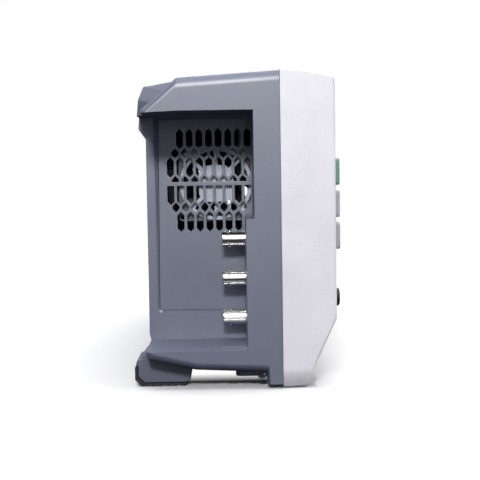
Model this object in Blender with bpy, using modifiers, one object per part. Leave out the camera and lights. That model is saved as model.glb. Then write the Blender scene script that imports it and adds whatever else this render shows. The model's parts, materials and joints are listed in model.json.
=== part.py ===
"""A bench function generator, modelled as its separate pieces.

Metres, +Z up. The front faces -Y, and the floor is Z = 0."""

import math

import bmesh
import bpy
from mathutils import Matrix, Vector

# ---- Whole instrument -------------------------------------------------------------------------
WIDTH = 0.360
SIDE = WIDTH / 2
FRONT = -0.0555  # Y of the flat front face; depths below are measured back from it
GAP = 0.0003  # clearance between neighbouring pieces
WALL = 0.0025

# ---- Front bezel: depth and height of its side outline ----------------------------------------
SEAM = 0.0333  # depth where the bezel ends
CROWN_TOP = 0.1960
CROWN_DROP = 0.0052
CROWN_STEPS = 6
FACE_BOTTOM = 0.0430
CHIN_DEPTH = 0.0150
CHIN_BOTTOM = 0.0113
LIP_TIP = (0.0130, 0.0055)
LIP_ROUND = (0.0180, 0.0018)
LIP_BOTTOM = (0.0265, 0.0008)
LIP_INSET = 0.0060

# ---- Rear cover -------------------------------------------------------------------------------
COVER_FRONT = SEAM + 0.0005
COVER_TOP_FRONT = 0.1954
CORNER_FOLD = (0.0960, 0.1916)
CORNER_END = (0.1185, 0.1722)
COVER_BACK = 0.1190
COVER_TAIL = (0.1165, 0.0180)
COVER_BELLY = (0.0870, 0.0116)
COVER_BELLY_FRONT = (0.0430, 0.0095)
RIDGE_BACK = 0.0427
RIDGE_BOTTOM = 0.0018
HOOD_SIDE = 0.1460
HOOD_TOP_FRONT = (0.0955, 0.1915)
HOOD_TOP = (0.1185, 0.1886)
HOOD_SHOULDER = (0.1220, 0.1804)
HOOD_LOW = (0.1237, 0.1626)
HOOD_UNDER = (0.1183, 0.1550)
TOP_ROUND = 0.0070
BACK_ROUND = 0.0040
LONG_ROUND_SHARE = 0.15  # of TOP_ROUND, along the edges that run from side to side
BACK_TOP = 0.1682  # heights where the upright back ends
BACK_LOW = 0.0280
INNER_ROUND = 0.0045
COVER_INNER = (  # inner corners down the back, from the folded corner to the belly
    (0.0950, 0.1891),
    (0.1150, 0.1707),
    (0.1165, 0.1662),
    (0.1165, 0.0280),
    (0.1140, 0.0205),
    (0.0870, 0.0141),
    (0.0405, 0.0120),
    (0.0405, 0.0043),
)
COVER_INNER_TOP = 0.1935

# ---- Connector bay: a notch in the cover's left rear corner -----------------------------------
BAY_WALL = -0.1300  # X of the bay's inner wall
BAY_FLOOR = 0.0245
BAY_CEILING = 0.1711
BAY_STEP = 0.1048  # height where the bay's front wall steps back
BAY_FRONT_UPPER = 0.0498
BAY_FRONT_LOWER = 0.0550

# ---- Vent panel in the bay's inner wall -------------------------------------------------------
PANEL_SINK = 0.0014
PANEL_INSET = (0.0005, 0.0008)  # from the bay's upper and lower front walls
PANEL_RIM_FRONT = 0.0560
PANEL_BACK = 0.1105
PANEL_LOW = 0.0430
PANEL_HIGH = 0.1690
PANEL_THICK = 0.0016
PANEL_RIM = 0.0025
VENT_PITCH = 0.00634
VENT_FIRST = 0.1033  # depth of the rearmost column
VENT_ROW_PITCH = 0.01810
VENT_MIDDLE = 0.1282
VENT_HALF_WIDTH = 0.00215
VENT_TALL = 0.0065
VENT_SHORT = 0.0031
VENT_POINT = 0.0022
VENT_SHORTS = 8  # short holes in each row between the tall ones
VENT_ROWS = ((1.5, 1, 8), (0.5, 0, 8), (-0.5, 0, 8), (-1.5, 1, 7))  # row, first and last column

# ---- Cooling fan ------------------------------------------------------------------------------
FAN_DEPTH = 0.0735
FAN_HEIGHT = 0.1264
FAN_SIZE = 0.0500
FAN_THICK = 0.0150
FAN_FRONT = BAY_WALL + 0.0062
FAN_BORE = 0.0235
FAN_HUB = 0.0125
STRUT_THICK = 0.0021
MOTOR_THICK = 0.0026
STRUT_WIDTH = 0.0030
STRUT_REACH = 0.0250
ROTOR_GAP = (0.0008, 0.0010)  # to the motor plate, and to the frame's inner face
ROTOR_HUB = 0.0122
BLADE_INNER = 0.0105
BLADE_OUTER = 0.0227
BLADE_CHORD = 0.0110
BLADE_THICK = 0.0012
BLADES = 7
BLADE_PITCH = math.radians(38)
GUARD_THICK = 0.0008
GUARD_RING = 0.0227  # middle of the ring's band
GUARD_BAND = 0.0022
GUARD_HUB = (0.0225, 0.0235)  # across and up
GUARD_CORNER = 0.0045
GUARD_SPOKE = 0.0020
GUARD_EAR = 0.0283

# ---- Feet -------------------------------------------------------------------------------------
FOOT_OUTER = 0.1650
FOOT_WIDTH = 0.0300
FOOT_OUTLINE = (  # from the hook behind the cover down the back and round to the front end
    (0.1184, 0.0222),
    (0.1213, 0.0188),
    (0.1213, 0.0176),
    (0.1244, 0.0165),
    (0.1254, 0.0140),
    (0.1240, 0.0125),
    (0.1240, 0.0060),
    (0.1200, 0.0020),
    (0.0935, 0.0020),
    (0.0910, 0.0040),
    (0.0900, 0.0116),
    (0.1172, 0.0174),
)
FOOT_BACK = 0.1240
FOOT_CORNER = 0.0040
PAD_FRONT = 0.0940
PAD_THICK = 0.0020
PAD_TOP = 0.0125
FRONT_PAD_X = 0.1400
FRONT_PAD_SIZE = (0.0300, 0.0110)
FRONT_PAD_BACK = 0.0323
FRONT_PAD_TOP = 0.0018
LEG_X = 0.1440
LEG_WIDTH = 0.0420
LEG_THICK = 0.0030
LEG_PIVOT = (0.0462, 0.0068)
LEG_TIP = 0.0625
LEG_LUG = 0.0045
LEG_ROUND = 0.0008
EAR_HALF = 0.0030
EAR_TOP = 0.0105

# ---- Front face layout ------------------------------------------------------------------------
SCREEN_X = (-0.1420, 0.0220)
SCREEN_Z = (0.0700, 0.1700)
SCREEN_BORDER = 0.0050
WINDOW_THICK = 0.0015
WINDOW_SINK = 0.0002
MODULE_BORDER = 0.0040
MODULE_THICK = 0.0065
LEFT_KEYS_X = -0.1600
LEFT_KEY_SIZE = (0.0140, 0.0166)
LEFT_KEY_PROUD = 0.0038
LEFT_KEY_HEIGHTS = {"run_key": 0.1329, "mode_key": 0.1129, "store_key": 0.0930}
POWER_HEIGHT = 0.0540
POWER_RADIUS = 0.0058
PAD_FIRST_X = 0.0440
PAD_TOP_Z = 0.1700
PAD_PITCH = (0.0190, 0.0150)
PAD_KEY = (0.0145, 0.0105)
KEY_PROUD = 0.0022
PAD_ROWS = (
    ("key_7", "key_8", "key_9"),
    ("key_4", "key_5", "key_6"),
    ("key_1", "key_2", "key_3"),
    ("key_point", "key_0", "key_sign"),
)
KNOB_X = 0.1400
KNOB_Z = 0.1560
KNOB_RADIUS = 0.0150
KNOB_PROUD = 0.0150
KNOB_BOTTOM = 0.0008  # gap between the knob and the face
KNOB_CAP = 0.0030  # plastic between the bore's end and the knob's face
KNOB_PROFILE = ((0.0120, 0.0150), (0.0135, 0.0140))
SHAFT_RADIUS = 0.0030
SHAFT_SHORT = 0.0036  # how far the shaft's end stays behind the knob's face
SHAFT_HOLE = 0.0037
SHAFT_BORE = 0.0034
ENCODER_SIZE = 0.0120
ARROW_Z = 0.1250
ARROW_X = (0.1280, 0.1520)
OUTPUT_X = (0.0630, 0.1330)
OUTPUT_KEY_Z = 0.0930
OUTPUT_JACK_Z = 0.0660
HOLE_CLEAR = 0.0004
FLANGE_EXTRA = 0.0012
FLANGE_THICK = 0.0012
KEY_STEM = 0.0040
KEY_ROUND = 0.0006
BUTTON_ROUND = 0.0010
KEY_REACH = 0.0102  # depth that a key's stem reaches at rest
KEY_BOARD_DEPTH = 0.0120
KEY_BOARD_HALF = 0.1720
KEY_BOARD_Z = (0.0460, 0.1850)
BOARD_THICK = 0.0016

# ---- Coaxial jacks ----------------------------------------------------------------------------
JACK_RADIUS = 0.00483
JACK_BORE = 0.0040
JACK_PROUD = 0.0150
JACK_GROOVE = 0.0039
GROOVE_DEEP = 0.0004
BORE_DEEP = 0.0080
JACK_BACK = 0.0080
LUG_RADIUS = 0.0010
LUG_TIP = 0.0055
LUG_ROOT = 0.0043
LUG_PLACE = 0.0055
SLEEVE_SINK = 0.0015  # of the sleeve's end behind the mouth, and its flange's thickness
SLEEVE_RADIUS = 0.0024
CONTACT_BORE = 0.0008
CONTACT_DEEP = 0.0035
BAY_JACK_X = BAY_WALL - 0.0110
BAY_JACK_HEIGHTS = {"top": 0.0908, "middle": 0.0654, "bottom": 0.0398}
OUTPUT_PROUD = 0.0135
OUTPUT_BACK = 0.0100
ROUND_STEPS = 24

# ---- Back panel -------------------------------------------------------------------------------
INLET_X = 0.1180
INLET_Z = 0.0640
INLET_SIZE = (0.0300, 0.0620)
INLET_FLANGE = 0.0020
INLET_LEDGE = 0.0015  # what the flange overlaps round its hole
INLET_SKIN = 0.0020  # from the flange's edge to the body's
INLET_BODY = 0.0200
INLET_SOCKET = (0.0240, 0.0165)
SOCKET_DROP = 0.0150
SOCKET_DEEP = 0.0160
BLADE_PLACES = ((-0.0070, -0.0015), (0.0, 0.0025), (0.0070, -0.0015))
BLADE_SIZE = (0.0020, 0.0040)
BLADE_SINK = 0.0030
ROCKER_RISE = 0.0165
ROCKER_SIZE = (0.0110, 0.0180)
ROCKER_TILT = math.radians(8)
ROCKER_WELL = (0.0122, 0.0204, 0.0110)
ROCKER_FACE = 0.0030
ROCKER_ROOT = (-0.0020, -0.0050)  # behind the back panel, at the ends and in the middle
ROCKER_TAPER = 0.9
LAN_X = 0.0500
USB_B_X = 0.0180
PORT_Z = 0.0460
LAN_SIZE = (0.0160, 0.0140)
USB_B_SIZE = (0.0120, 0.0110)
PORT_DEEP = 0.0160
PORT_SKIN = 0.0010
USB_A_SKIN = 0.0008
USB_A_X = -0.1200
USB_A_Z = 0.0555
USB_A_SIZE = (0.0145, 0.0072)
SCREW_X = 0.0920
SCREW_HEIGHTS = (0.1400, 0.0340)
SCREW_RADIUS = 0.0030
SHANK_RADIUS = 0.0018
SCREW_HEAD = 0.0020
SCREW_SLOT = (0.0008, 0.0040, 0.0010)  # wide, long and deep
SCREW_LONG = 0.0100
SLOTS = 12
SLOT_SIZE = (0.0028, 0.0420)
SLOT_PITCH = 0.0055
SLOT_FIRST = 0.0480
SLOT_Z = 0.1200

# ---- Boards inside ----------------------------------------------------------------------------
MAIN_BOARD_X = (-0.0950, 0.1500)
MAIN_BOARD_Z = (0.0300, 0.1750)
MAIN_BOARD_DEPTH = 0.0560
CHIPS = (  # X, Z, size and height of each
    (-0.0500, 0.1200, 0.0300, 0.0040),
    (0.0000, 0.1400, 0.0250, 0.0080),
    (-0.0300, 0.0600, 0.0240, 0.0030),
)
SUPPLY_X = (0.0300, 0.1600)
SUPPLY_Z = (0.0860, 0.1500)
SUPPLY_DEPTH = 0.0720
TRANSFORMER = (0.0400, 0.0280, 0.0360)
TRANSFORMER_X = 0.1340
CAPACITORS_X = (0.0500, 0.0760)
CAPACITOR = (0.0100, 0.0300)  # radius and length

CUTTER_REACH = 0.0100

for old in list(bpy.data.objects):
    bpy.data.objects.remove(old, do_unlink=True)
PARTS = bpy.data.collections.new("function_generator")
CUTTERS = bpy.data.collections.new("cutters")
for group in (PARTS, CUTTERS):
    bpy.context.scene.collection.children.link(group)


def y_at(depth):
    return FRONT + depth


# ---- Materials --------------------------------------------------------------------------------
def material(name, color, roughness, metallic=0.0):
    made = bpy.data.materials.new(name)
    made.use_nodes = True
    shader = made.node_tree.nodes["Principled BSDF"]
    shader.inputs["Base Color"].default_value = (*color, 1.0)
    shader.inputs["Roughness"].default_value = roughness
    shader.inputs["Metallic"].default_value = metallic
    return made


WHITE = material("off_white_plastic", (0.76, 0.75, 0.80), 0.45)
SLATE = material("slate_plastic", (0.21, 0.23, 0.31), 0.50)
SLATE_DARK = material("dark_slate_plastic", (0.07, 0.08, 0.11), 0.55)
BLACK = material("black_plastic", (0.015, 0.015, 0.018), 0.45)
RUBBER = material("black_rubber", (0.010, 0.009, 0.012), 0.80)
GREEN = material("green_key", (0.06, 0.30, 0.14), 0.40)
GREY = material("grey_key", (0.36, 0.36, 0.40), 0.45)
SCREEN = material("screen_glass", (0.010, 0.010, 0.014), 0.10)
CHROME = material("nickel_plate", (0.72, 0.70, 0.70), 0.20, 1.0)
INSULATION = material("white_insulator", (0.82, 0.80, 0.75), 0.50)
STEEL = material("zinc_steel", (0.55, 0.55, 0.56), 0.35, 1.0)
BOARD = material("green_board", (0.02, 0.16, 0.06), 0.50)


# ---- Making shapes ----------------------------------------------------------------------------
def place(obj, group=PARTS):
    group.objects.link(obj)
    if group is CUTTERS:
        obj.hide_render = True
        obj.display_type = "WIRE"
    return obj


def mesh_object(name, shape, coating=None, group=PARTS):
    mesh = bpy.data.meshes.new(name)
    shape.to_mesh(mesh)
    shape.free()
    if coating:
        mesh.materials.append(coating)
    return place(bpy.data.objects.new(name, mesh), group)


def box(name, low, high, coating=None, group=PARTS):
    low, high = Vector(low), Vector(high)
    shape = bmesh.new()
    bmesh.ops.create_cube(shape, size=1.0)
    bmesh.ops.scale(shape, vec=high - low, verts=shape.verts)
    made = mesh_object(name, shape, coating, group)
    made.location = (low + high) / 2
    return made


def cylinder(name, radius, start, end, coating=None, group=PARTS, steps=ROUND_STEPS):
    """A closed cylinder whose axis runs from start to end."""
    start, end = Vector(start), Vector(end)
    shape = bmesh.new()
    bmesh.ops.create_cone(
        shape,
        cap_ends=True,
        segments=steps,
        radius1=radius,
        radius2=radius,
        depth=(end - start).length,
    )
    made = mesh_object(name, shape, coating, group)
    made.location = (start + end) / 2
    made.rotation_mode = "QUATERNION"
    made.rotation_quaternion = Vector((0, 0, 1)).rotation_difference(end - start)
    return made


def outline(name, points, half, coating=None, group=PARTS, facing="X"):
    """A flat outline given thickness, as a mesh.

    Facing X its points are (Y, Z), and facing Y they are (X, Z)."""
    curve = bpy.data.curves.new(name, "CURVE")
    curve.dimensions = "2D"
    curve.fill_mode = "BOTH"
    curve.extrude = half
    line = curve.splines.new("POLY")
    line.points.add(len(points) - 1)
    for point, (across, up) in zip(line.points, points):
        point.co = (across, up, 0.0, 1.0)
    line.use_cyclic_u = True
    drawn = bpy.data.objects.new(name + "_line", curve)
    bpy.context.scene.collection.objects.link(drawn)
    turn_z = math.pi / 2 if facing == "X" else 0.0
    drawn.rotation_euler = (math.pi / 2, 0.0, turn_z)
    bpy.context.view_layer.update()
    graph = bpy.context.evaluated_depsgraph_get()
    mesh = bpy.data.meshes.new_from_object(drawn.evaluated_get(graph))
    mesh.name = name
    shape = bmesh.new()
    shape.from_mesh(mesh)
    bmesh.ops.remove_doubles(shape, verts=shape.verts, dist=1e-6)
    bmesh.ops.dissolve_limit(shape, angle_limit=0.01, verts=shape.verts, edges=shape.edges)
    bmesh.ops.transform(shape, matrix=drawn.matrix_world, verts=shape.verts)
    bmesh.ops.recalc_face_normals(shape, faces=shape.faces)
    bpy.data.objects.remove(drawn, do_unlink=True)
    bpy.data.meshes.remove(mesh)
    return mesh_object(name, shape, coating, group)


def side_outline(name, points, low_x, high_x, coating=None, group=PARTS):
    """A side outline, in depths and heights, carried from low_x to high_x."""
    line = [(y_at(depth), height) for depth, height in points]
    made = outline(name, line, (high_x - low_x) / 2, coating, group)
    made.location.x = (low_x + high_x) / 2
    return made


def bevel(obj, width, segments=2, chosen=None):
    """Rounds the sharp edges, or only the edges whose two end points the test accepts."""
    rounding = obj.modifiers.new("rounding", "BEVEL")
    rounding.width = width
    rounding.segments = segments
    if chosen is None:
        rounding.limit_method = "ANGLE"
        rounding.angle_limit = math.radians(25)
        return obj
    rounding.limit_method = "WEIGHT"
    weights = obj.data.attributes.new("bevel_weight_edge", "FLOAT", "EDGE")
    for edge in obj.data.edges:
        ends = [obj.data.vertices[i].co for i in edge.vertices]
        weights.data[edge.index].value = float(chosen(*ends))
    return obj


def combine(obj, other, operation):
    step = obj.modifiers.new(operation.lower(), "BOOLEAN")
    step.operation = operation
    step.solver = "EXACT"
    step.object = other
    return obj


def cut(obj, *cutters):
    for cutter in cutters:
        combine(obj, cutter, "DIFFERENCE")
    return obj


def join(obj, *others):
    for other in others:
        combine(obj, other, "UNION")
    return obj


def cut_box(obj, name, low, high):
    return cut(obj, box(name, low, high, group=CUTTERS))


def join_box(obj, name, low, high):
    return join(obj, box(name, low, high, group=CUTTERS))


def smooth(obj):
    obj.data.shade_smooth()
    obj.data.set_sharp_from_angle(angle=math.radians(35))
    return obj


def at_origin(obj, place_at):
    """Moves an object's origin to a point and leaves its shape where it is."""
    shift = Vector(place_at) - obj.location
    for vertex in obj.data.vertices:
        vertex.co -= shift
    obj.location = place_at
    return obj


def turned(name, profile, coating=None, steps=ROUND_STEPS, group=PARTS):
    """A turned shape about its own Z, laid along Y so that its own +Z points to the front (-Y).

    The profile is (radius, height) from the top of the axis down the outer side."""
    shape = bmesh.new()
    points = [shape.verts.new((radius, 0.0, height)) for radius, height in profile]
    for first, second in zip(points, points[1:]):
        shape.edges.new((first, second))
    made = mesh_object(name, shape, coating, group)
    turning = made.modifiers.new("turning", "SCREW")
    turning.steps = steps
    turning.render_steps = steps
    turning.use_merge_vertices = True
    turning.merge_threshold = 1e-5
    made.rotation_euler.x = math.pi / 2
    return made


# ---- Front bezel ------------------------------------------------------------------------------
def crown(start, end, drop=0.0):
    """Heights of the bezel's crowned top between two depths."""
    points = []
    for step in range(CROWN_STEPS + 1):
        depth = start + (end - start) * step / CROWN_STEPS
        fall = CROWN_DROP * ((SEAM - depth) / SEAM) ** 2 if depth < SEAM else 0.0
        points.append((depth, CROWN_TOP - fall - drop))
    return points


def bezel_outer():
    points = crown(SEAM, 0.0)
    points += [(0.0, FACE_BOTTOM), (CHIN_DEPTH, CHIN_BOTTOM)]
    points += [LIP_TIP, LIP_ROUND, LIP_BOTTOM, (SEAM, LIP_BOTTOM[1])]
    return points


def bezel_inner():
    chin_slope = CHIN_DEPTH / (FACE_BOTTOM - CHIN_BOTTOM)
    low = CHIN_BOTTOM + WALL
    points = crown(SEAM + CUTTER_REACH, WALL, WALL)
    points += [(WALL, FACE_BOTTOM)]
    points += [(WALL + (FACE_BOTTOM - low) * chin_slope, low)]
    points += [(LIP_ROUND[0] + WALL, LIP_BOTTOM[1] + WALL)]
    points += [(SEAM + CUTTER_REACH, LIP_BOTTOM[1] + WALL)]
    return points


def lip_undercut(name, side):
    """A slanting slice that narrows the lip towards the floor."""
    slope = LIP_INSET / CHIN_BOTTOM
    low_x = SIDE - LIP_INSET - slope * CUTTER_REACH
    high_x = SIDE + slope * CUTTER_REACH
    points = [
        (side * low_x, -CUTTER_REACH),
        (side * (high_x + CUTTER_REACH), -CUTTER_REACH),
        (side * (high_x + CUTTER_REACH), CHIN_BOTTOM + CUTTER_REACH),
        (side * high_x, CHIN_BOTTOM + CUTTER_REACH),
    ]
    return outline(name, points, SIDE, group=CUTTERS, facing="Y")


def front_hole(name, x, z, size):
    half_x, half_z = size[0] / 2 + HOLE_CLEAR, size[1] / 2 + HOLE_CLEAR
    low = (x - half_x, y_at(-CUTTER_REACH), z - half_z)
    high = (x + half_x, y_at(CUTTER_REACH), z + half_z)
    return box(name, low, high, group=CUTTERS)


def round_front_hole(name, x, z, radius):
    return cylinder(name, radius, (x, y_at(-CUTTER_REACH), z), (x, y_at(CUTTER_REACH), z), group=CUTTERS)


def pad_keys():
    """Name, X and Z of each key of the number pad."""
    for row, names in enumerate(PAD_ROWS):
        for column, name in enumerate(names):
            x = PAD_FIRST_X + column * PAD_PITCH[0]
            yield name, x, PAD_TOP_Z - row * PAD_PITCH[1]


def small_keys():
    """Name, X and Z of every key that has the number pad's key size."""
    yield from pad_keys()
    for name, x in zip(("arrow_left_key", "arrow_right_key"), ARROW_X):
        yield name, x, ARROW_Z
    for name, x in zip(("output_1_key", "output_2_key"), OUTPUT_X):
        yield name, x, OUTPUT_KEY_Z


def front_bezel():
    bezel = side_outline("front_bezel", bezel_outer(), -SIDE, SIDE, WHITE)
    bevel(bezel, 0.0015)
    cut(bezel, side_outline("bezel_hollow", bezel_inner(), -SIDE + WALL, SIDE - WALL, group=CUTTERS))
    cut(bezel, lip_undercut("lip_left", -1), lip_undercut("lip_right", 1))
    window_low = (SCREEN_X[0] - GAP, y_at(-CUTTER_REACH), SCREEN_Z[0] - GAP)
    window_high = (SCREEN_X[1] + GAP, y_at(WINDOW_THICK + GAP), SCREEN_Z[1] + GAP)
    cut_box(bezel, "window_recess", window_low, window_high)
    border = SCREEN_BORDER
    view_low = (SCREEN_X[0] + border, y_at(-CUTTER_REACH), SCREEN_Z[0] + border)
    view_high = (SCREEN_X[1] - border, y_at(CUTTER_REACH), SCREEN_Z[1] - border)
    cut_box(bezel, "screen_opening", view_low, view_high)
    for name, height in LEFT_KEY_HEIGHTS.items():
        cut(bezel, front_hole(name + "_hole", LEFT_KEYS_X, height, LEFT_KEY_SIZE))
    for name, x, z in small_keys():
        cut(bezel, front_hole(name + "_hole", x, z, PAD_KEY))
    cut(bezel, front_hole("usb_host_hole", USB_A_X, USB_A_Z, USB_A_SIZE))
    cut(bezel, round_front_hole("power_hole", LEFT_KEYS_X, POWER_HEIGHT, POWER_RADIUS + HOLE_CLEAR))
    cut(bezel, round_front_hole("shaft_hole", KNOB_X, KNOB_Z, SHAFT_HOLE))
    for number, x in enumerate(OUTPUT_X, 1):
        cut(bezel, round_front_hole(f"output_{number}_hole", x, OUTPUT_JACK_Z, JACK_RADIUS + HOLE_CLEAR))
    for number, side in enumerate((-1, 1), 1):
        low, high = front_pad_box(side, HOLE_CLEAR)
        cut_box(bezel, f"pad_pocket_{number}", low, high)
    return bezel


# ---- Rear cover -------------------------------------------------------------------------------
def cover_outer():
    return [
        (COVER_FRONT, COVER_TOP_FRONT),
        CORNER_FOLD,
        CORNER_END,
        (COVER_BACK, BACK_TOP),
        (COVER_BACK, BACK_LOW),
        COVER_TAIL,
        COVER_BELLY,
        COVER_BELLY_FRONT,
        (RIDGE_BACK, RIDGE_BOTTOM),
        (COVER_FRONT, RIDGE_BOTTOM),
    ]


def cover_inner():
    return [
        (COVER_FRONT - CUTTER_REACH, COVER_INNER_TOP),
        *COVER_INNER,
        (COVER_FRONT - CUTTER_REACH, COVER_INNER[-1][1]),
    ]


def hood():
    """The band that stands proud along the top of the back."""
    points = [
        HOOD_TOP_FRONT,
        HOOD_TOP,
        HOOD_SHOULDER,
        HOOD_LOW,
        HOOD_UNDER,
        (HOOD_UNDER[0] - WALL / 2, HOOD_UNDER[1]),
        (HOOD_TOP_FRONT[0], HOOD_TOP_FRONT[1] - WALL / 2),
    ]
    return side_outline("hood_band", points, -HOOD_SIDE, HOOD_SIDE, group=CUTTERS)


def along_x(first, second):
    return abs(first.x - second.x) > SIDE


def on_side_top(first, second):
    on_side = abs(abs(first.x) - SIDE) < GAP and abs(first.x - second.x) < GAP
    return on_side and min(first.z, second.z) > BAY_CEILING - GAP


def on_side_low(first, second):
    on_side = abs(abs(first.x) - SIDE) < GAP and abs(first.x - second.x) < GAP
    behind_ridge = min(first.y, second.y) > y_at(RIDGE_BACK) - GAP
    return on_side and max(first.z, second.z) < BAY_FLOOR and behind_ridge


def side_edge_weight(first, second):
    """1 along the top and belly edges, less down the back corners."""
    if along_x(first, second):
        return LONG_ROUND_SHARE
    if on_side_top(first, second) or on_side_low(first, second):
        return 1.0
    on_side = abs(abs(first.x) - SIDE) < GAP and abs(first.x - second.x) < GAP
    at_back = min(first.y, second.y) > y_at(COVER_BACK) - BACK_ROUND
    return BACK_ROUND / TOP_ROUND if on_side and at_back else 0.0


def bay_outline(grow):
    """The bay's front wall with its step, and its floor and ceiling, as (depth, height)."""
    back = COVER_BACK + CUTTER_REACH * 2
    return [
        (back, BAY_CEILING + grow),
        (BAY_FRONT_UPPER - grow, BAY_CEILING + grow),
        (BAY_FRONT_UPPER - grow, BAY_STEP - grow),
        (BAY_FRONT_LOWER - grow, BAY_STEP - grow),
        (BAY_FRONT_LOWER - grow, BAY_FLOOR - grow),
        (back, BAY_FLOOR - grow),
    ]


def bay_block(name, grow):
    return side_outline(name, bay_outline(grow), -SIDE - CUTTER_REACH, BAY_WALL + grow, group=CUTTERS)


def panel_outline(grow):
    """The vent panel's outline as (depth, height)."""
    upper = BAY_FRONT_UPPER + PANEL_INSET[0] - min(grow, GAP)
    lower = BAY_FRONT_LOWER + PANEL_INSET[1] - grow
    step = BAY_STEP + PANEL_INSET[0] - grow
    return [
        (PANEL_BACK + grow, PANEL_HIGH + grow),
        (upper, PANEL_HIGH + grow),
        (upper, step),
        (lower, step),
        (lower, PANEL_LOW - grow),
        (PANEL_BACK + grow, PANEL_LOW - grow),
    ]


def air_slots():
    for number in range(SLOTS):
        y = y_at(SLOT_FIRST + number * SLOT_PITCH)
        low = (SIDE - CUTTER_REACH, y - SLOT_SIZE[0] / 2, SLOT_Z - SLOT_SIZE[1] / 2)
        high = (SIDE + CUTTER_REACH, y + SLOT_SIZE[0] / 2, SLOT_Z + SLOT_SIZE[1] / 2)
        yield box(f"air_slot_{number + 1}", low, high, group=CUTTERS)


def back_hole(name, x, z, size):
    half_x, half_z = size[0] / 2 + HOLE_CLEAR, size[1] / 2 + HOLE_CLEAR
    low = (x - half_x, y_at(COVER_BACK - CUTTER_REACH), z - half_z)
    high = (x + half_x, y_at(COVER_BACK + CUTTER_REACH), z + half_z)
    return box(name, low, high, group=CUTTERS)


def screw_places():
    for x in (-SCREW_X, SCREW_X):
        for z in SCREW_HEIGHTS:
            yield x, z


def on_inner_side(first, second):
    """True for the hollow's edges in its two sides, above the bay and along the belly."""
    on_side = abs(abs(first.x) - SIDE + WALL) < GAP and abs(first.x - second.x) < GAP
    high = min(first.z, second.z) > BAY_CEILING - TOP_ROUND
    low = max(first.z, second.z) < BAY_FLOOR and min(first.y, second.y) > y_at(RIDGE_BACK) - WALL * 2
    return on_side and (high or low)


def rear_cover():
    cover = side_outline("rear_cover", cover_outer(), -SIDE, SIDE, SLATE)
    bevel(cover, TOP_ROUND, 3, side_edge_weight)
    join(cover, hood())
    hollow = side_outline("cover_hollow", cover_inner(), -SIDE + WALL, SIDE - WALL, group=CUTTERS)
    bevel(hollow, INNER_ROUND, 2, on_inner_side)
    cut(hollow, bay_block("bay_with_walls", WALL))
    cut(cover, hollow, bay_block("bay", 0.0))
    opening_x = (BAY_WALL - CUTTER_REACH / 2, BAY_WALL + CUTTER_REACH / 2)
    cut(cover, side_outline("panel_opening", panel_outline(GAP), *opening_x, group=CUTTERS))
    cut(cover, *air_slots())
    inlet_hole = [size - 2 * INLET_LEDGE for size in INLET_SIZE]
    cut(cover, back_hole("inlet_hole", INLET_X, INLET_Z, inlet_hole))
    cut(cover, back_hole("lan_hole", LAN_X, PORT_Z, LAN_SIZE))
    cut(cover, back_hole("usb_device_hole", USB_B_X, PORT_Z, USB_B_SIZE))
    for name, height in BAY_JACK_HEIGHTS.items():
        start = (BAY_JACK_X, y_at(BAY_FRONT_LOWER - CUTTER_REACH), height)
        end = (BAY_JACK_X, y_at(BAY_FRONT_LOWER + CUTTER_REACH), height)
        cut(cover, cylinder(f"{name}_jack_hole", JACK_RADIUS + HOLE_CLEAR, start, end, group=CUTTERS))
    for number, (x, z) in enumerate(screw_places(), 1):
        start = (x, y_at(COVER_BACK - CUTTER_REACH), z)
        end = (x, y_at(COVER_BACK + CUTTER_REACH), z)
        hole = cylinder(f"screw_hole_{number}", SHANK_RADIUS + GAP, start, end, group=CUTTERS)
        start = (x, y_at(COVER_BACK - WALL / 2), z)
        well = cylinder(f"screw_well_{number}", SCREW_RADIUS + GAP, start, end, group=CUTTERS)
        cut(cover, hole, well)
    return cover


# ---- Vent panel -------------------------------------------------------------------------------
def vent_hexagon(depth, height, half_high):
    """One upright hexagon with pointed ends, as (depth, height)."""
    shoulder = half_high - VENT_POINT
    return [
        (depth, height + half_high),
        (depth + VENT_HALF_WIDTH, height + shoulder),
        (depth + VENT_HALF_WIDTH, height - shoulder),
        (depth, height - half_high),
        (depth - VENT_HALF_WIDTH, height - shoulder),
        (depth - VENT_HALF_WIDTH, height + shoulder),
    ]


def vent_holes():
    """Every hole of the grille: tall ones in rows, with short ones between the rows at half columns."""
    for row, first, last in VENT_ROWS:
        for column in range(first, last + 1):
            depth = VENT_FIRST - column * VENT_PITCH
            yield depth, VENT_MIDDLE + row * VENT_ROW_PITCH, VENT_TALL
    for row in (1, 0, -1):
        for column in range(VENT_SHORTS):
            depth = VENT_FIRST - (column + 0.5) * VENT_PITCH
            yield depth, VENT_MIDDLE + row * VENT_ROW_PITCH, VENT_SHORT


def vent_cutters():
    """All the holes as separate prisms in one mesh."""
    shape = bmesh.new()
    low_x, high_x = BAY_WALL - CUTTER_REACH, BAY_WALL + CUTTER_REACH
    for depth, height, half_high in vent_holes():
        ring = [
            shape.verts.new((low_x, y_at(d), z))
            for d, z in vent_hexagon(depth, height, half_high)
        ]
        face = shape.faces.new(ring)
        pulled = bmesh.ops.extrude_face_region(shape, geom=[face])
        moved = [v for v in pulled["geom"] if isinstance(v, bmesh.types.BMVert)]
        bmesh.ops.translate(shape, vec=(high_x - low_x, 0, 0), verts=moved)
    bmesh.ops.recalc_face_normals(shape, faces=shape.faces)
    return mesh_object("vent_cutters", shape, group=CUTTERS)


def vent_panel():
    face_x = BAY_WALL + PANEL_SINK
    back_x = BAY_WALL + WALL + GAP + PANEL_THICK
    panel = side_outline("vent_panel", panel_outline(0.0), face_x, back_x, SLATE)
    rim_points = [
        (PANEL_BACK + PANEL_RIM, PANEL_HIGH),
        (PANEL_RIM_FRONT, PANEL_HIGH),
        (PANEL_RIM_FRONT, PANEL_LOW - PANEL_RIM),
        (PANEL_BACK + PANEL_RIM, PANEL_LOW - PANEL_RIM),
    ]
    rim_x = (back_x - PANEL_THICK, back_x)
    join(panel, side_outline("panel_rim", rim_points, *rim_x, group=CUTTERS))
    return cut(panel, vent_cutters())


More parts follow.
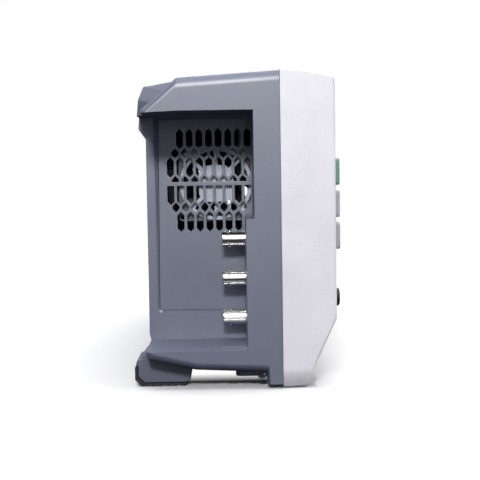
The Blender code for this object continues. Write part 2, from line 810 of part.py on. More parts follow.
# ---- Fan --------------------------------------------------------------------------------------
def fan_frame():
    centre_y = y_at(FAN_DEPTH)
    half = FAN_SIZE / 2
    low = (FAN_FRONT, centre_y - half, FAN_HEIGHT - half)
    high = (FAN_FRONT + FAN_THICK, centre_y + half, FAN_HEIGHT + half)
    frame = box("fan_frame", low, high, BLACK)
    start = (FAN_FRONT - CUTTER_REACH, centre_y, FAN_HEIGHT)
    end = (FAN_FRONT + FAN_THICK + CUTTER_REACH, centre_y, FAN_HEIGHT)
    cut(frame, cylinder("fan_bore", FAN_BORE, start, end, group=CUTTERS, steps=32))
    start = (FAN_FRONT, centre_y, FAN_HEIGHT)
    end = (FAN_FRONT + MOTOR_THICK, centre_y, FAN_HEIGHT)
    join(frame, cylinder("stator_hub", FAN_HUB, start, end, group=CUTTERS))
    for number in range(2):
        low = (FAN_FRONT, -STRUT_WIDTH / 2, -STRUT_REACH)
        high = (FAN_FRONT + STRUT_THICK, STRUT_WIDTH / 2, STRUT_REACH)
        strut = box(f"fan_strut_{number + 1}", low, high, group=CUTTERS)
        strut.location.y += centre_y
        strut.location.z += FAN_HEIGHT
        strut.rotation_euler.x = math.pi / 4 + number * math.pi / 2
        join(frame, strut)
    return frame


def guard_bar(name, length, angle, inner=0.0):
    """A flat bar on the guard's plane, turned about the fan's axis."""
    low = (0.0, -GUARD_SPOKE / 2, inner)
    high = (GUARD_THICK, GUARD_SPOKE / 2, length)
    bar = at_origin(box(name, low, high, group=CUTTERS), (0.0, 0.0, 0.0))
    bar.location = (FAN_FRONT - GAP - GUARD_THICK, y_at(FAN_DEPTH), FAN_HEIGHT)
    bar.rotation_euler.x = angle
    return bar


def fan_guard():
    """A stamped steel finger guard: a ring, a centre plate, spokes and four ears."""
    face = FAN_FRONT - GAP - GUARD_THICK
    start = Vector((face, y_at(FAN_DEPTH), FAN_HEIGHT))
    end = start + Vector((GUARD_THICK, 0, 0))
    guard = cylinder("fan_guard", GUARD_RING + GUARD_BAND / 2, start, end, STEEL, steps=32)
    past = Vector((GUARD_THICK, 0, 0))
    inner = GUARD_RING - GUARD_BAND / 2
    cut(guard, cylinder("guard_hole", inner, start - past, end + past, group=CUTTERS, steps=32))
    half_y, half_z = GUARD_HUB[0] / 2, GUARD_HUB[1] / 2
    corner = GUARD_CORNER
    points = [
        (half_y - corner, half_z),
        (half_y, half_z - corner),
        (half_y, corner - half_z),
        (half_y - corner, -half_z),
        (corner - half_y, -half_z),
        (-half_y, corner - half_z),
        (-half_y, half_z - corner),
        (corner - half_y, half_z),
    ]
    points = [(FAN_DEPTH + across, FAN_HEIGHT + up) for across, up in points]
    join(guard, side_outline("guard_hub", points, face, face + GUARD_THICK, group=CUTTERS))
    for number in range(8):
        angle = number * math.pi / 4
        length = GUARD_EAR if number % 2 else GUARD_RING
        join(guard, guard_bar(f"guard_bar_{number + 1}", length, angle, GUARD_HUB[0] / 4))
    return guard


def fan_rotor():
    """The hub and blades, with their origin on the shaft."""
    start_x = FAN_FRONT + MOTOR_THICK + ROTOR_GAP[0]
    end_x = FAN_FRONT + FAN_THICK - ROTOR_GAP[1]
    middle = (start_x + end_x) / 2
    centre = Vector((middle, y_at(FAN_DEPTH), FAN_HEIGHT))
    half = (end_x - start_x) / 2
    start = centre - Vector((half, 0, 0))
    end = centre + Vector((half, 0, 0))
    rotor = cylinder("fan_rotor", ROTOR_HUB, start, end, BLACK)
    span = BLADE_OUTER - BLADE_INNER
    for number in range(BLADES):
        shape = bmesh.new()
        bmesh.ops.create_cube(shape, size=1.0)
        bmesh.ops.scale(shape, vec=(BLADE_CHORD, BLADE_THICK, span), verts=shape.verts)
        bmesh.ops.rotate(shape, matrix=Matrix.Rotation(BLADE_PITCH, 3, "Z"), verts=shape.verts)
        bmesh.ops.translate(shape, vec=(0, 0, BLADE_INNER + span / 2), verts=shape.verts)
        blade = mesh_object(f"fan_blade_{number + 1}", shape, group=CUTTERS)
        blade.location = centre
        blade.rotation_euler.x = number * math.tau / BLADES
        join(rotor, blade)
    return rotor


# ---- Feet and tilt legs -----------------------------------------------------------------------
def foot_spans(side):
    first, second = side * FOOT_OUTER, side * (FOOT_OUTER - FOOT_WIDTH)
    return min(first, second), max(first, second)


def rear_foot(name, side):
    """A moulded block that wraps under the cover's lower back corner."""
    return side_outline(name, FOOT_OUTLINE, *foot_spans(side), SLATE_DARK)


def rear_pad(name, side):
    """An L of rubber along the back and underside of the foot."""
    outer = FOOT_BACK + PAD_THICK
    points = [
        (outer, PAD_TOP - GAP),
        (outer, FOOT_CORNER),
        (outer - FOOT_CORNER, 0.0),
        (PAD_FRONT, 0.0),
        (PAD_FRONT - PAD_THICK / 2, PAD_THICK - GAP),
        (FOOT_BACK - FOOT_CORNER + GAP / 2, PAD_THICK - GAP),
        (FOOT_BACK + GAP, PAD_THICK + FOOT_CORNER - GAP / 2),
        (FOOT_BACK + GAP, PAD_TOP - GAP),
    ]
    return side_outline(name, points, *foot_spans(side), RUBBER)


def front_pad_box(side, grow):
    """A front rubber pad, let into the lip's underside."""
    half_x = FRONT_PAD_SIZE[0] / 2 + grow
    centre = side * FRONT_PAD_X
    low = (centre - half_x, y_at(FRONT_PAD_BACK - FRONT_PAD_SIZE[1] - grow), -10 * grow)
    high = (centre + half_x, y_at(FRONT_PAD_BACK + grow), FRONT_PAD_TOP + grow / 2)
    return low, high


def front_pad(name, side):
    low, high = front_pad_box(side, 0.0)
    return box(name, low, high, RUBBER)


def tilt_leg(name, side):
    """A leg folded back under the cover, with its origin on its pivot."""
    depth, height = LEG_PIVOT
    centre = side * LEG_X
    half = LEG_WIDTH / 2
    low = (centre - half, y_at(depth), height - LEG_THICK / 2)
    high = (centre + half, y_at(LEG_TIP), height + LEG_THICK / 2)
    leg = box(name, low, high, SLATE_DARK)
    bevel(leg, LEG_ROUND)
    start = (centre - half - LEG_LUG, y_at(depth), height)
    end = (centre + half + LEG_LUG, y_at(depth), height)
    join(leg, cylinder(name + "_pin", LEG_THICK / 2, start, end, group=CUTTERS, steps=16))
    return at_origin(leg, (centre, y_at(depth), height))


def leg_lugs(cover):
    """Ears under the cover that the legs' pins turn in."""
    depth, height = LEG_PIVOT
    for side in (-1, 1):
        for end in (-1, 1):
            inner = side * LEG_X + end * (LEG_WIDTH / 2 + GAP * 2)
            outer = inner + end * LEG_LUG
            low = (min(inner, outer), y_at(depth - EAR_HALF), height - EAR_HALF)
            high = (max(inner, outer), y_at(depth + EAR_HALF), EAR_TOP)
            join_box(cover, f"leg_lug_{side}_{end}", low, high)
            start = (side * LEG_X + end * LEG_WIDTH / 4, y_at(depth), height)
            stop = (side * LEG_X + end * (LEG_WIDTH / 2 + LEG_LUG + GAP * 3), y_at(depth), height)
            radius = LEG_THICK / 2 + GAP
            hole = cylinder(f"lug_hole_{side}_{end}", radius, start, stop, group=CUTTERS, steps=16)
            cut(cover, hole)


# ---- Keys and knob ----------------------------------------------------------------------------
def key(name, x, z, size, proud, coating):
    """A key cap with a flange behind the bezel and a stem towards its switch. Its origin is at its face."""
    low = (x - size[0] / 2, y_at(-proud), z - size[1] / 2)
    high = (x + size[0] / 2, y_at(WALL + GAP * 2), z + size[1] / 2)
    cap = box(name, low, high, coating)
    bevel(cap, KEY_ROUND, 1)
    reach_x, reach_z = size[0] / 2 + FLANGE_EXTRA, size[1] / 2 + FLANGE_EXTRA
    start = WALL + GAP
    low = (x - reach_x, y_at(start), z - reach_z)
    high = (x + reach_x, y_at(start + FLANGE_THICK), z + reach_z)
    join_box(cap, name + "_flange", low, high)
    half = KEY_STEM / 2
    low = (x - half, y_at(start), z - half)
    high = (x + half, y_at(KEY_REACH), z + half)
    join_box(cap, name + "_stem", low, high)
    return at_origin(cap, (x, y_at(-proud), z))


def power_button():
    flange = POWER_RADIUS + FLANGE_EXTRA
    start = -(WALL + GAP)
    profile = [
        (0.0, LEFT_KEY_PROUD),
        (POWER_RADIUS - BUTTON_ROUND, LEFT_KEY_PROUD),
        (POWER_RADIUS, LEFT_KEY_PROUD - BUTTON_ROUND),
        (POWER_RADIUS, start),
        (flange, start),
        (flange, start - FLANGE_THICK),
        (KEY_STEM / 2, start - FLANGE_THICK),
        (KEY_STEM / 2, -KEY_REACH),
        (0.0, -KEY_REACH),
    ]
    button = turned("power_button", profile, BLACK)
    button.location = (LEFT_KEYS_X, y_at(0.0), POWER_HEIGHT)
    return smooth(button)


def control_knob():
    profile = [
        (0.0, KNOB_PROUD),
        *KNOB_PROFILE,
        (KNOB_RADIUS, KNOB_BOTTOM),
        (SHAFT_BORE, KNOB_BOTTOM),
        (SHAFT_BORE, KNOB_PROUD - KNOB_CAP),
        (0.0, KNOB_PROUD - KNOB_CAP),
    ]
    knob = turned("control_knob", profile, GREY, steps=36)
    knob.location = (KNOB_X, y_at(0.0), KNOB_Z)
    return smooth(knob)


def knob_encoder():
    """The encoder on the key board, with its shaft."""
    half = ENCODER_SIZE / 2
    low = (KNOB_X - half, y_at(WALL + GAP), KNOB_Z - half)
    high = (KNOB_X + half, y_at(KEY_BOARD_DEPTH - GAP), KNOB_Z + half)
    encoder = box("knob_encoder", low, high, STEEL)
    start = (KNOB_X, y_at(WALL * 2), KNOB_Z)
    end = (KNOB_X, y_at(SHAFT_SHORT - KNOB_PROUD), KNOB_Z)
    return join(encoder, cylinder("encoder_shaft", SHAFT_RADIUS, start, end, group=CUTTERS))


# ---- Jacks ------------------------------------------------------------------------------------
def jack_shell(name, x, z, face_y, facing, proud, back):
    """facing is -1 for a jack that points to the front and 1 for one that points to the back."""
    floor = proud - BORE_DEEP
    groove = proud - JACK_GROOVE
    profile = [
        (0.0, floor),
        (JACK_BORE, floor),
        (JACK_BORE, proud),
        (JACK_RADIUS - GAP, proud),
        (JACK_RADIUS, proud - GAP),
        (JACK_RADIUS, groove + 2 * GAP),
        (JACK_RADIUS - GROOVE_DEEP, groove + GAP),
        (JACK_RADIUS - GROOVE_DEEP, groove - GAP),
        (JACK_RADIUS, groove - 2 * GAP),
        (JACK_RADIUS, -back),
        (0.0, -back),
    ]
    shell = turned(name, profile, CHROME)
    shell.location = (x, face_y, z)
    shell.rotation_euler.x = -facing * math.pi / 2
    lug_y = face_y + facing * (proud - LUG_PLACE)
    for number, way in enumerate((-1, 1), 1):
        start = (x, lug_y, z + way * LUG_ROOT)
        end = (x, lug_y, z + way * LUG_TIP)
        join(shell, cylinder(f"{name}_lug_{number}", LUG_RADIUS, start, end, group=CUTTERS, steps=12))
    return smooth(shell)


def jack_insulator(name, x, z, face_y, facing, proud):
    """The white sleeve inside the shell, with the contact's bore down its middle."""
    floor = proud - BORE_DEEP + GAP
    top = proud - SLEEVE_SINK
    profile = [
        (0.0, top - CONTACT_DEEP),
        (CONTACT_BORE, top - CONTACT_DEEP),
        (CONTACT_BORE, top),
        (SLEEVE_RADIUS, top),
        (SLEEVE_RADIUS, floor + SLEEVE_SINK),
        (JACK_BORE - GAP, floor + SLEEVE_SINK),
        (JACK_BORE - GAP, floor),
        (0.0, floor),
    ]
    sleeve = turned(name, profile, INSULATION)
    sleeve.location = (x, face_y, z)
    sleeve.rotation_euler.x = -facing * math.pi / 2
    return smooth(sleeve)


# ---- Back panel -------------------------------------------------------------------------------
def mains_inlet():
    """Inlet and switch in one moulding: a flange, a body, a socket with three blades and a switch well."""
    half_x, half_z = INLET_SIZE[0] / 2, INLET_SIZE[1] / 2
    back = y_at(COVER_BACK)
    low = (INLET_X - half_x, back + GAP, INLET_Z - half_z)
    high = (INLET_X + half_x, back + GAP + INLET_FLANGE, INLET_Z + half_z)
    inlet = box("mains_inlet", low, high, BLACK)
    low = (INLET_X - half_x + INLET_SKIN, back - INLET_BODY, INLET_Z - half_z + INLET_SKIN)
    high = (INLET_X + half_x - INLET_SKIN, back + GAP * 2, INLET_Z + half_z - INLET_SKIN)
    join_box(inlet, "inlet_body", low, high)
    socket_z = INLET_Z - SOCKET_DROP
    low = (INLET_X - INLET_SOCKET[0] / 2, back - SOCKET_DEEP, socket_z - INLET_SOCKET[1] / 2)
    high = (INLET_X + INLET_SOCKET[0] / 2, back + CUTTER_REACH, socket_z + INLET_SOCKET[1] / 2)
    cut_box(inlet, "inlet_socket", low, high)
    for number, (dx, dz) in enumerate(BLADE_PLACES, 1):
        reach_x, reach_z = BLADE_SIZE[0] / 2, BLADE_SIZE[1] / 2
        low = (INLET_X + dx - reach_x, back - SOCKET_DEEP - reach_x, socket_z + dz - reach_z)
        high = (INLET_X + dx + reach_x, back - BLADE_SINK, socket_z + dz + reach_z)
        join_box(inlet, f"inlet_blade_{number}", low, high)
    rocker_z = INLET_Z + ROCKER_RISE
    half_x, half_z = ROCKER_WELL[0] / 2, ROCKER_WELL[1] / 2
    low = (INLET_X - half_x, back - ROCKER_WELL[2], rocker_z - half_z)
    high = (INLET_X + half_x, back + CUTTER_REACH, rocker_z + half_z)
    return cut_box(inlet, "switch_well", low, high)


def mains_switch():
    """A rocker that turns about X. It rests with its lower half pressed in."""
    half_x, half_z = ROCKER_SIZE[0] / 2, ROCKER_SIZE[1] / 2
    rise = half_z * math.tan(ROCKER_TILT)
    points = [
        (ROCKER_FACE + rise, -half_z),
        (ROCKER_FACE, 0.0),
        (ROCKER_FACE + rise, half_z),
        (ROCKER_ROOT[0], half_z * ROCKER_TAPER),
        (ROCKER_ROOT[1], 0.0),
        (ROCKER_ROOT[0], -half_z * ROCKER_TAPER),
    ]
    rocker = outline("mains_switch", points, half_x, BLACK)
    rocker.location = (INLET_X, y_at(COVER_BACK), INLET_Z + ROCKER_RISE)
    rocker.rotation_euler.x = -ROCKER_TILT
    return rocker


def open_port(name, x, z, size, start, end, skin):
    """A metal can, open at its mouth. start is its mouth and end is its closed back."""
    low = (x - size[0] / 2, min(start, end), z - size[1] / 2)
    high = (x + size[0] / 2, max(start, end), z + size[1] / 2)
    port = box(name, low, high, STEEL)
    way = 1 if end > start else -1
    inner = (start - way * CUTTER_REACH, end - way * skin)
    low = (x - size[0] / 2 + skin, min(inner), z - size[1] / 2 + skin)
    high = (x + size[0] / 2 - skin, max(inner), z + size[1] / 2 - skin)
    return cut_box(port, name + "_mouth", low, high)


def cover_screw(name, x, z):
    head = y_at(COVER_BACK) - WALL / 2 + GAP
    start, end = (x, head, z), (x, head + SCREW_HEAD, z)
    screw = cylinder(name, SCREW_RADIUS, start, end, STEEL, steps=16)
    start, end = (x, head - SCREW_LONG, z), (x, head + SCREW_HEAD / 4, z)
    join(screw, cylinder(name + "_shank", SHANK_RADIUS, start, end, group=CUTTERS, steps=12))
    wide, long, deep = SCREW_SLOT
    low = (x - wide / 2, head + SCREW_HEAD - deep, z - long / 2)
    high = (x + wide / 2, head + SCREW_HEAD * 2, z + long / 2)
    return cut_box(screw, name + "_slot", low, high)


# ---- Inside -----------------------------------------------------------------------------------
def display_window():
    low = (SCREEN_X[0], y_at(WINDOW_SINK), SCREEN_Z[0])
    high = (SCREEN_X[1], y_at(WINDOW_THICK), SCREEN_Z[1])
    return box("display_window", low, high, SCREEN)


def display_module():
    border = MODULE_BORDER
    low = (SCREEN_X[0] + border, y_at(WALL + GAP), SCREEN_Z[0] + border)
    high = (SCREEN_X[1] - border, y_at(WALL + GAP + MODULE_THICK), SCREEN_Z[1] - border)
    return box("display_module", low, high, STEEL)


def key_board():
    depth = KEY_BOARD_DEPTH
    low = (-KEY_BOARD_HALF, y_at(depth), KEY_BOARD_Z[0])
    high = (KEY_BOARD_HALF, y_at(depth + BOARD_THICK), KEY_BOARD_Z[1])
    return box("key_board", low, high, BOARD)


def main_board():
    depth = MAIN_BOARD_DEPTH
    low = (MAIN_BOARD_X[0], y_at(depth), MAIN_BOARD_Z[0])
    high = (MAIN_BOARD_X[1], y_at(depth + BOARD_THICK), MAIN_BOARD_Z[1])
    board = box("main_board", low, high, BOARD)
    for number, (x, z, size, rise) in enumerate(CHIPS, 1):
        low = (x - size / 2, y_at(depth + BOARD_THICK - GAP), z - size / 2)
        high = (x + size / 2, y_at(depth + BOARD_THICK + rise), z + size / 2)
        join_box(board, f"chip_{number}", low, high)
    return board


def power_supply():
    """The supply's own board with its transformer and two capacitors."""
    face = SUPPLY_DEPTH + BOARD_THICK
    low = (SUPPLY_X[0], y_at(SUPPLY_DEPTH), SUPPLY_Z[0])
    high = (SUPPLY_X[1], y_at(face), SUPPLY_Z[1])
    supply = box("power_supply", low, high, BOARD)
    wide, deep, tall = TRANSFORMER
    z = (SUPPLY_Z[0] + SUPPLY_Z[1]) / 2
    low = (TRANSFORMER_X - wide / 2, y_at(face - GAP), z - tall / 2)
    high = (TRANSFORMER_X + wide / 2, y_at(face + deep), z + tall / 2)
    join_box(supply, "transformer", low, high)
    radius, long = CAPACITOR
    for number, x in enumerate(CAPACITORS_X, 1):
        start, end = (x, y_at(face - GAP), z), (x, y_at(face + long), z)
        join(supply, cylinder(f"capacitor_{number}", radius, start, end, group=CUTTERS))
    return supply


# ---- Everything together ----------------------------------------------------------------------
def build():
    front_bezel()
    leg_lugs(rear_cover())
    vent_panel()
    fan_guard()
    fan_frame()
    fan_rotor()
    for word, side in (("left", -1), ("right", 1)):
        front_pad(f"front_pad_{word}", side)
        rear_foot(f"rear_foot_{word}", side)
        rear_pad(f"rear_pad_{word}", side)
        tilt_leg(f"tilt_leg_{word}", side)
    display_window()
    display_module()
    for name, height in LEFT_KEY_HEIGHTS.items():
        coating = GREEN if name == "run_key" else GREY
        key(name, LEFT_KEYS_X, height, LEFT_KEY_SIZE, LEFT_KEY_PROUD, coating)
    for name, x, z in small_keys():
        key(name, x, z, PAD_KEY, KEY_PROUD, GREY)
    power_button()
    control_knob()
    knob_encoder()
    for number, x in enumerate(OUTPUT_X, 1):
        place_of = (x, OUTPUT_JACK_Z, y_at(0.0), -1, OUTPUT_PROUD)
        jack_shell(f"output_{number}_jack", *place_of, OUTPUT_BACK)
        jack_insulator(f"output_{number}_insulator", *place_of)
    for name, height in BAY_JACK_HEIGHTS.items():
        wall = y_at(BAY_FRONT_LOWER)
        jack_shell(f"{name}_bay_jack", BAY_JACK_X, height, wall, 1, JACK_PROUD, JACK_BACK)
        jack_insulator(f"{name}_bay_insulator", BAY_JACK_X, height, wall, 1, JACK_PROUD)
    mains_inlet()
    mains_switch()
    back = y_at(COVER_BACK)
    open_port("lan_socket", LAN_X, PORT_Z, LAN_SIZE, back, back - PORT_DEEP, PORT_SKIN)
    open_port("usb_device_port", USB_B_X, PORT_Z, USB_B_SIZE, back, back - PORT_DEEP, PORT_SKIN)
    mouth, behind = y_at(0.0), y_at(KEY_BOARD_DEPTH - GAP)
    open_port("usb_host_port", USB_A_X, USB_A_Z, USB_A_SIZE, mouth, behind, USB_A_SKIN)
    for number, (x, z) in enumerate(screw_places(), 1):
        cover_screw(f"cover_screw_{number}", x, z)
    key_board()
    main_board()
    power_supply()


build()
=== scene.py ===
# %% [markdown]
# # A bench function generator
# A laboratory instrument with an off-white front bezel and a slate grey rear cover. A deep bay in the
# cover's left rear corner holds a vent with a fan behind it and three bayonet coaxial jacks.
# The frame is a set of plain solids that already have their sizes and their joints. This lesson gives
# each of them its final shape and finish. Every new piece rides on a body of the frame, so it moves
# when the frame's joints do.

# %% Load the frame
import json
import math

import bmesh
import bpy
from mathutils import Matrix, Vector

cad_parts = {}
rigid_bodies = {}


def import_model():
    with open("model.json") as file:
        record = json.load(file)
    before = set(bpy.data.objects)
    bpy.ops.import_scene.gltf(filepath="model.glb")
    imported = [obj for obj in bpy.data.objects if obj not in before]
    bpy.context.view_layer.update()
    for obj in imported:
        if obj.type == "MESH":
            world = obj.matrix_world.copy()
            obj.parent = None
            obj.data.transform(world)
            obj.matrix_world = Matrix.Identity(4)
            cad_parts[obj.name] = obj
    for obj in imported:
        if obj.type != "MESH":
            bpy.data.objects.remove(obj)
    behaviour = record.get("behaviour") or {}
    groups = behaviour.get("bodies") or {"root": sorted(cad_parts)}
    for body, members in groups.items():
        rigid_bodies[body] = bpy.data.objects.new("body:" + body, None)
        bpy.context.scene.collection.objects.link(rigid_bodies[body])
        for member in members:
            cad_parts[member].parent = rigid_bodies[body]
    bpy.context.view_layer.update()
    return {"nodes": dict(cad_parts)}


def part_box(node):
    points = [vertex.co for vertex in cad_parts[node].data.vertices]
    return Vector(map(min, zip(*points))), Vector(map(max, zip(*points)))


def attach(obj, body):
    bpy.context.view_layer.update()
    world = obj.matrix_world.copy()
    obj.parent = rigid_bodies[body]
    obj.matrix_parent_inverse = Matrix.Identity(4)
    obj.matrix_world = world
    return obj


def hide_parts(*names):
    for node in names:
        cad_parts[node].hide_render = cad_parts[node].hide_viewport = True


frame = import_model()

# %% [markdown]
# ## Measures
# Side outlines are easiest to think of as a depth behind the flat front face and a height above the
# table. The frame says where the front face and the two sides are, so everything else is worked out
# from them. One small function turns (x, depth, height) into a point.

# %% Measures from the frame
bezel_low, bezel_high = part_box("front_bezel")
cover_low, cover_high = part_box("rear_cover")
FRONT = bezel_low.y
SIDE = bezel_high.x
SEAM = bezel_high.y - FRONT
MM = 0.001


def at(x, depth, height):
    return Vector((x, FRONT + depth, height))


print("width", round(2 * SIDE / MM), "mm, seam", round(SEAM / MM, 1), "mm behind the front face")

# %% [markdown]
# ## Camera
# The instrument is seen from its left, a little above its middle, from about 0.6 m. A 75 mm lens on a
# 36 mm sensor shows the box without much stretching at its near edges. The camera is aimed with three
# vectors (forward, right, up), because a matrix made of them leaves no doubt about the order of turns.

# %% Camera
EYE = at(-SIDE - 0.608, 0.0662, 0.1293)
LOOK_DOWN = math.radians(3.5)
LOOK_ASIDE = math.radians(0.69)
LEAN = 0.0156


def aim(eye, down, aside, lean):
    forward = Vector((math.cos(down) * math.cos(aside), -math.cos(down) * math.sin(aside), -math.sin(down)))
    level = forward.cross(Vector((0, 0, 1))).normalized()
    above = level.cross(forward)
    right = level * math.cos(lean) - above * math.sin(lean)
    up = above * math.cos(lean) + level * math.sin(lean)
    return Matrix.Translation(eye) @ Matrix((right, up, -forward)).transposed().to_4x4()


lens = bpy.data.cameras.new("studio_camera")
lens.lens = 75.0
lens.sensor_width = 36.0
lens.clip_start = 0.01
camera = bpy.data.objects.new("studio_camera", lens)
camera.matrix_world = aim(EYE, LOOK_DOWN, LOOK_ASIDE, LEAN)
bpy.context.scene.collection.objects.link(camera)
bpy.context.scene.camera = camera
print("camera at", [round(value, 3) for value in EYE])

# %% [markdown]
# ## Shader maths
# Node trees are long to write by hand. The class `Value` wraps one output socket and overloads the
# arithmetic operators, so `1 - mask` adds the Math node it needs. The class `Finish` is a material
# under construction: its one method `node` adds any node, first with its settings and then with the
# values or links of its sockets.

# %% Shader maths
class Value:
    """One output socket of a material under construction."""

    def __init__(self, finish, socket):
        self.finish = finish
        self.socket = socket

    def math(self, operation, *terms):
        return self.finish.node("ShaderNodeMath", {"operation": operation}, dict(enumerate(terms)))

    def __add__(self, other):
        return self.math("ADD", self, other)

    __radd__ = __add__

    def __mul__(self, other):
        return self.math("MULTIPLY", self, other)

    __rmul__ = __mul__

    def __sub__(self, other):
        return self.math("SUBTRACT", self, other)

    def __rsub__(self, other):
        return self.math("SUBTRACT", other, self)

    def __abs__(self):
        return self.math("ABSOLUTE", self)

    def __gt__(self, other):
        return self.math("GREATER_THAN", self, other)

    def __lt__(self, other):
        return self.math("LESS_THAN", self, other)


class Finish:
    """A material under construction: its node tree and its Principled shader."""

    def __init__(self, name, **constants):
        self.material = bpy.data.materials.new(name)
        self.material.use_nodes = True
        self.tree = self.material.node_tree
        self.shader = self.tree.nodes["Principled BSDF"]
        for socket, value in constants.items():
            self.set(socket.replace("_", " ").title().replace("Ior", "IOR"), value)
        self.place = self.node("ShaderNodeTexCoord", output="Object")

    def feed(self, socket, value):
        if isinstance(value, Value):
            self.tree.links.new(value.socket, socket)
        elif socket.type == "RGBA" and len(value) == 3:
            socket.default_value = (*value, 1.0)
        else:
            socket.default_value = value

    def set(self, socket, value):
        self.feed(self.shader.inputs[socket], value)

    def node(self, kind, settings=None, inputs=None, output=0):
        made = self.tree.nodes.new(kind)
        for setting, value in (settings or {}).items():
            setattr(made, setting, value)
        for socket, value in (inputs or {}).items():
            self.feed(made.inputs[socket], value)
        return Value(self, made.outputs[output])

    def noise(self, scale, detail=2.0, rough=0.5, place=None):
        sockets = {"Vector": place or self.place, "Scale": scale, "Detail": detail, "Roughness": rough}
        return self.node("ShaderNodeTexNoise", {}, sockets)

    def stretch(self, scale):
        """The place with each axis scaled, for grain that runs one way."""
        return self.node("ShaderNodeVectorMath", {"operation": "MULTIPLY"}, {0: self.place, 1: scale})

    def axis(self, name):
        return self.node("ShaderNodeSeparateXYZ", {}, {0: self.place}, output=name)

    def mix(self, factor, first, second):
        sockets = {0: factor, 6: first, 7: second}
        return self.node("ShaderNodeMix", {"data_type": "RGBA"}, sockets, output=2)

    def ramp(self, value, start, stop, low, high):
        """The value brought from start ... stop to low ... high, and held there past both ends."""
        return self.node("ShaderNodeMapRange", {}, {0: value, 1: start, 2: stop, 3: low, 4: high})

    def between(self, value, low, high):
        """The middle part of a noise brought to low ... high."""
        return self.ramp(value, 0.3, 0.7, low, high)

    def bump(self, height, distance):
        return self.node("ShaderNodeBump", {}, {"Height": height, "Distance": distance, "Strength": 1.0})


print("shader maths ready")

# %% [markdown]
# ## Moulded plastics
# The housings are ABS. The tool that moulds them is etched, so the skin has a fine even grain, and
# the melt leaves a faint cloudiness. A noise with 0.4 mm grains drives a shallow bump, and two slower
# noises move the colour and the gloss by a few percent. All of them use the piece's own coordinates
# in metres, so the grain has the same size on every part.

# %% Moulded plastics
def moulded(name, colour, gloss, grain=2400.0, relief=0.00003, cloud=0.06, specular=0.5):
    """Etched ABS. gloss is its roughness, relief the height of its grain in metres."""
    finish = Finish(name, specular_ior_level=specular)
    grains = finish.noise(grain, 2.0, 0.6)
    clouds = finish.noise(38.0, 4.0, 0.55)
    specks = finish.noise(700.0, 1.0)
    light = tuple(min(1.0, part * (1 + cloud)) for part in colour)
    dark = tuple(part * (1 - cloud) for part in colour)
    shade = finish.between(clouds * 0.75 + specks * 0.25, 0.0, 1.0)
    finish.set("Base Color", finish.mix(shade, dark, light))
    finish.set("Roughness", finish.between(clouds * 0.5 + grains * 0.5, gloss - 0.04, gloss + 0.04))
    finish.set("Normal", finish.bump(grains, relief))
    return finish.material


WHITE_ABS = moulded("white_abs", (0.800, 0.788, 0.850), 0.46)
SLATE_ABS = moulded("slate_abs", (0.102, 0.118, 0.184), 0.49, specular=0.6)
FOOT_ABS = moulded("foot_abs", (0.100, 0.106, 0.160), 0.50, specular=0.4)
BLACK_ABS = moulded("black_abs", (0.012, 0.012, 0.014), 0.42)
GLOSS_BLACK = moulded("gloss_black", (0.008, 0.008, 0.009), 0.16, relief=0.000005)
KEY_GREEN = moulded("key_green", (0.100, 0.270, 0.165), 0.42)
KEY_GREY = moulded("key_grey", (0.36, 0.36, 0.40), 0.45)
print("moulded plastics made")

# %% [markdown]
# ## Rubber
# Pads are moulded rubber: nearly black, rough, and a little dusty. The dust is a pale colour that
# shows in broad soft patches, and the bump is coarser than on the plastics.

# %% Rubber
def rubber(name):
    finish = Finish(name, specular_ior_level=0.3)
    grains = finish.noise(1500.0, 3.0, 0.65)
    dust = finish.between(finish.noise(120.0, 4.0, 0.6), 0.0, 0.5)
    finish.set("Base Color", finish.mix(dust, (0.006, 0.006, 0.007), (0.020, 0.019, 0.021)))
    finish.set("Roughness", finish.between(grains, 0.70, 0.88))
    finish.set("Normal", finish.bump(grains, 0.00006))
    return finish.material


RUBBER = rubber("pad_rubber")
print("rubber made")

# %% [markdown]
# ## Metals
# The jacks are turned brass with bright nickel on it, so a very fine ring pattern from the tool is
# left in the bump. Sheet steel has a dull zinc coat with a cloudy crystal pattern, and contacts are
# gold. One function makes all of them from a colour, a roughness and a grain.

# %% Metals
def plated(name, colour, gloss, grain=(900.0, 9000.0, 900.0), relief=0.000004, tarnish=0.10):
    finish = Finish(name, metallic=1.0)
    lines = finish.noise(1.0, 2.0, 0.5, finish.stretch(grain))
    clouds = finish.noise(260.0, 3.0, 0.55)
    dull = tuple(part * (1 - tarnish) for part in colour)
    finish.set("Base Color", finish.mix(finish.between(clouds, 0.0, 1.0), dull, colour))
    finish.set("Roughness", finish.between(clouds * 0.6 + lines * 0.4, gloss * 0.75, gloss * 1.3))
    finish.set("Normal", finish.bump(lines, relief))
    return finish.material


NICKEL = plated("bright_nickel", (0.86, 0.84, 0.82), 0.13)
ZINC = plated("zinc_steel", (0.62, 0.63, 0.66), 0.34, (700.0, 700.0, 700.0), 0.00001, 0.25)
GOLD = plated("gold_contact", (0.90, 0.66, 0.28), 0.20)
print("metals made")

# %% [markdown]
# ## Shapes
# Almost every piece here is an outline carried along an axis, or a profile turned about one. Outlines
# are lists of flat points. `rounded` swaps each corner for an arc, and `drawn_in` moves every side
# inwards, which gives the smaller rings that a rounded edge needs.

# %% Outlines
def rounded(points, radius, steps=5):
    """The outline with each corner as an arc. radius is one length, or one for each corner."""
    radii = [radius] * len(points) if isinstance(radius, (int, float)) else radius
    made = []
    for index, point in enumerate(points):
        corner = Vector(point)
        before = Vector(points[index - 1]) - corner
        after = Vector(points[(index + 1) % len(points)]) - corner
        half = before.angle(after) / 2
        if radii[index] <= 0 or half > math.radians(88):
            made.append(corner)
            continue
        reach = min(radii[index] / math.tan(half), before.length * 0.49, after.length * 0.49)
        start, end = corner + before.normalized() * reach, corner + after.normalized() * reach
        for step in range(steps + 1):
            t = step / steps
            made.append(start * (1 - t) ** 2 + corner * 2 * t * (1 - t) + end * t ** 2)
    return made


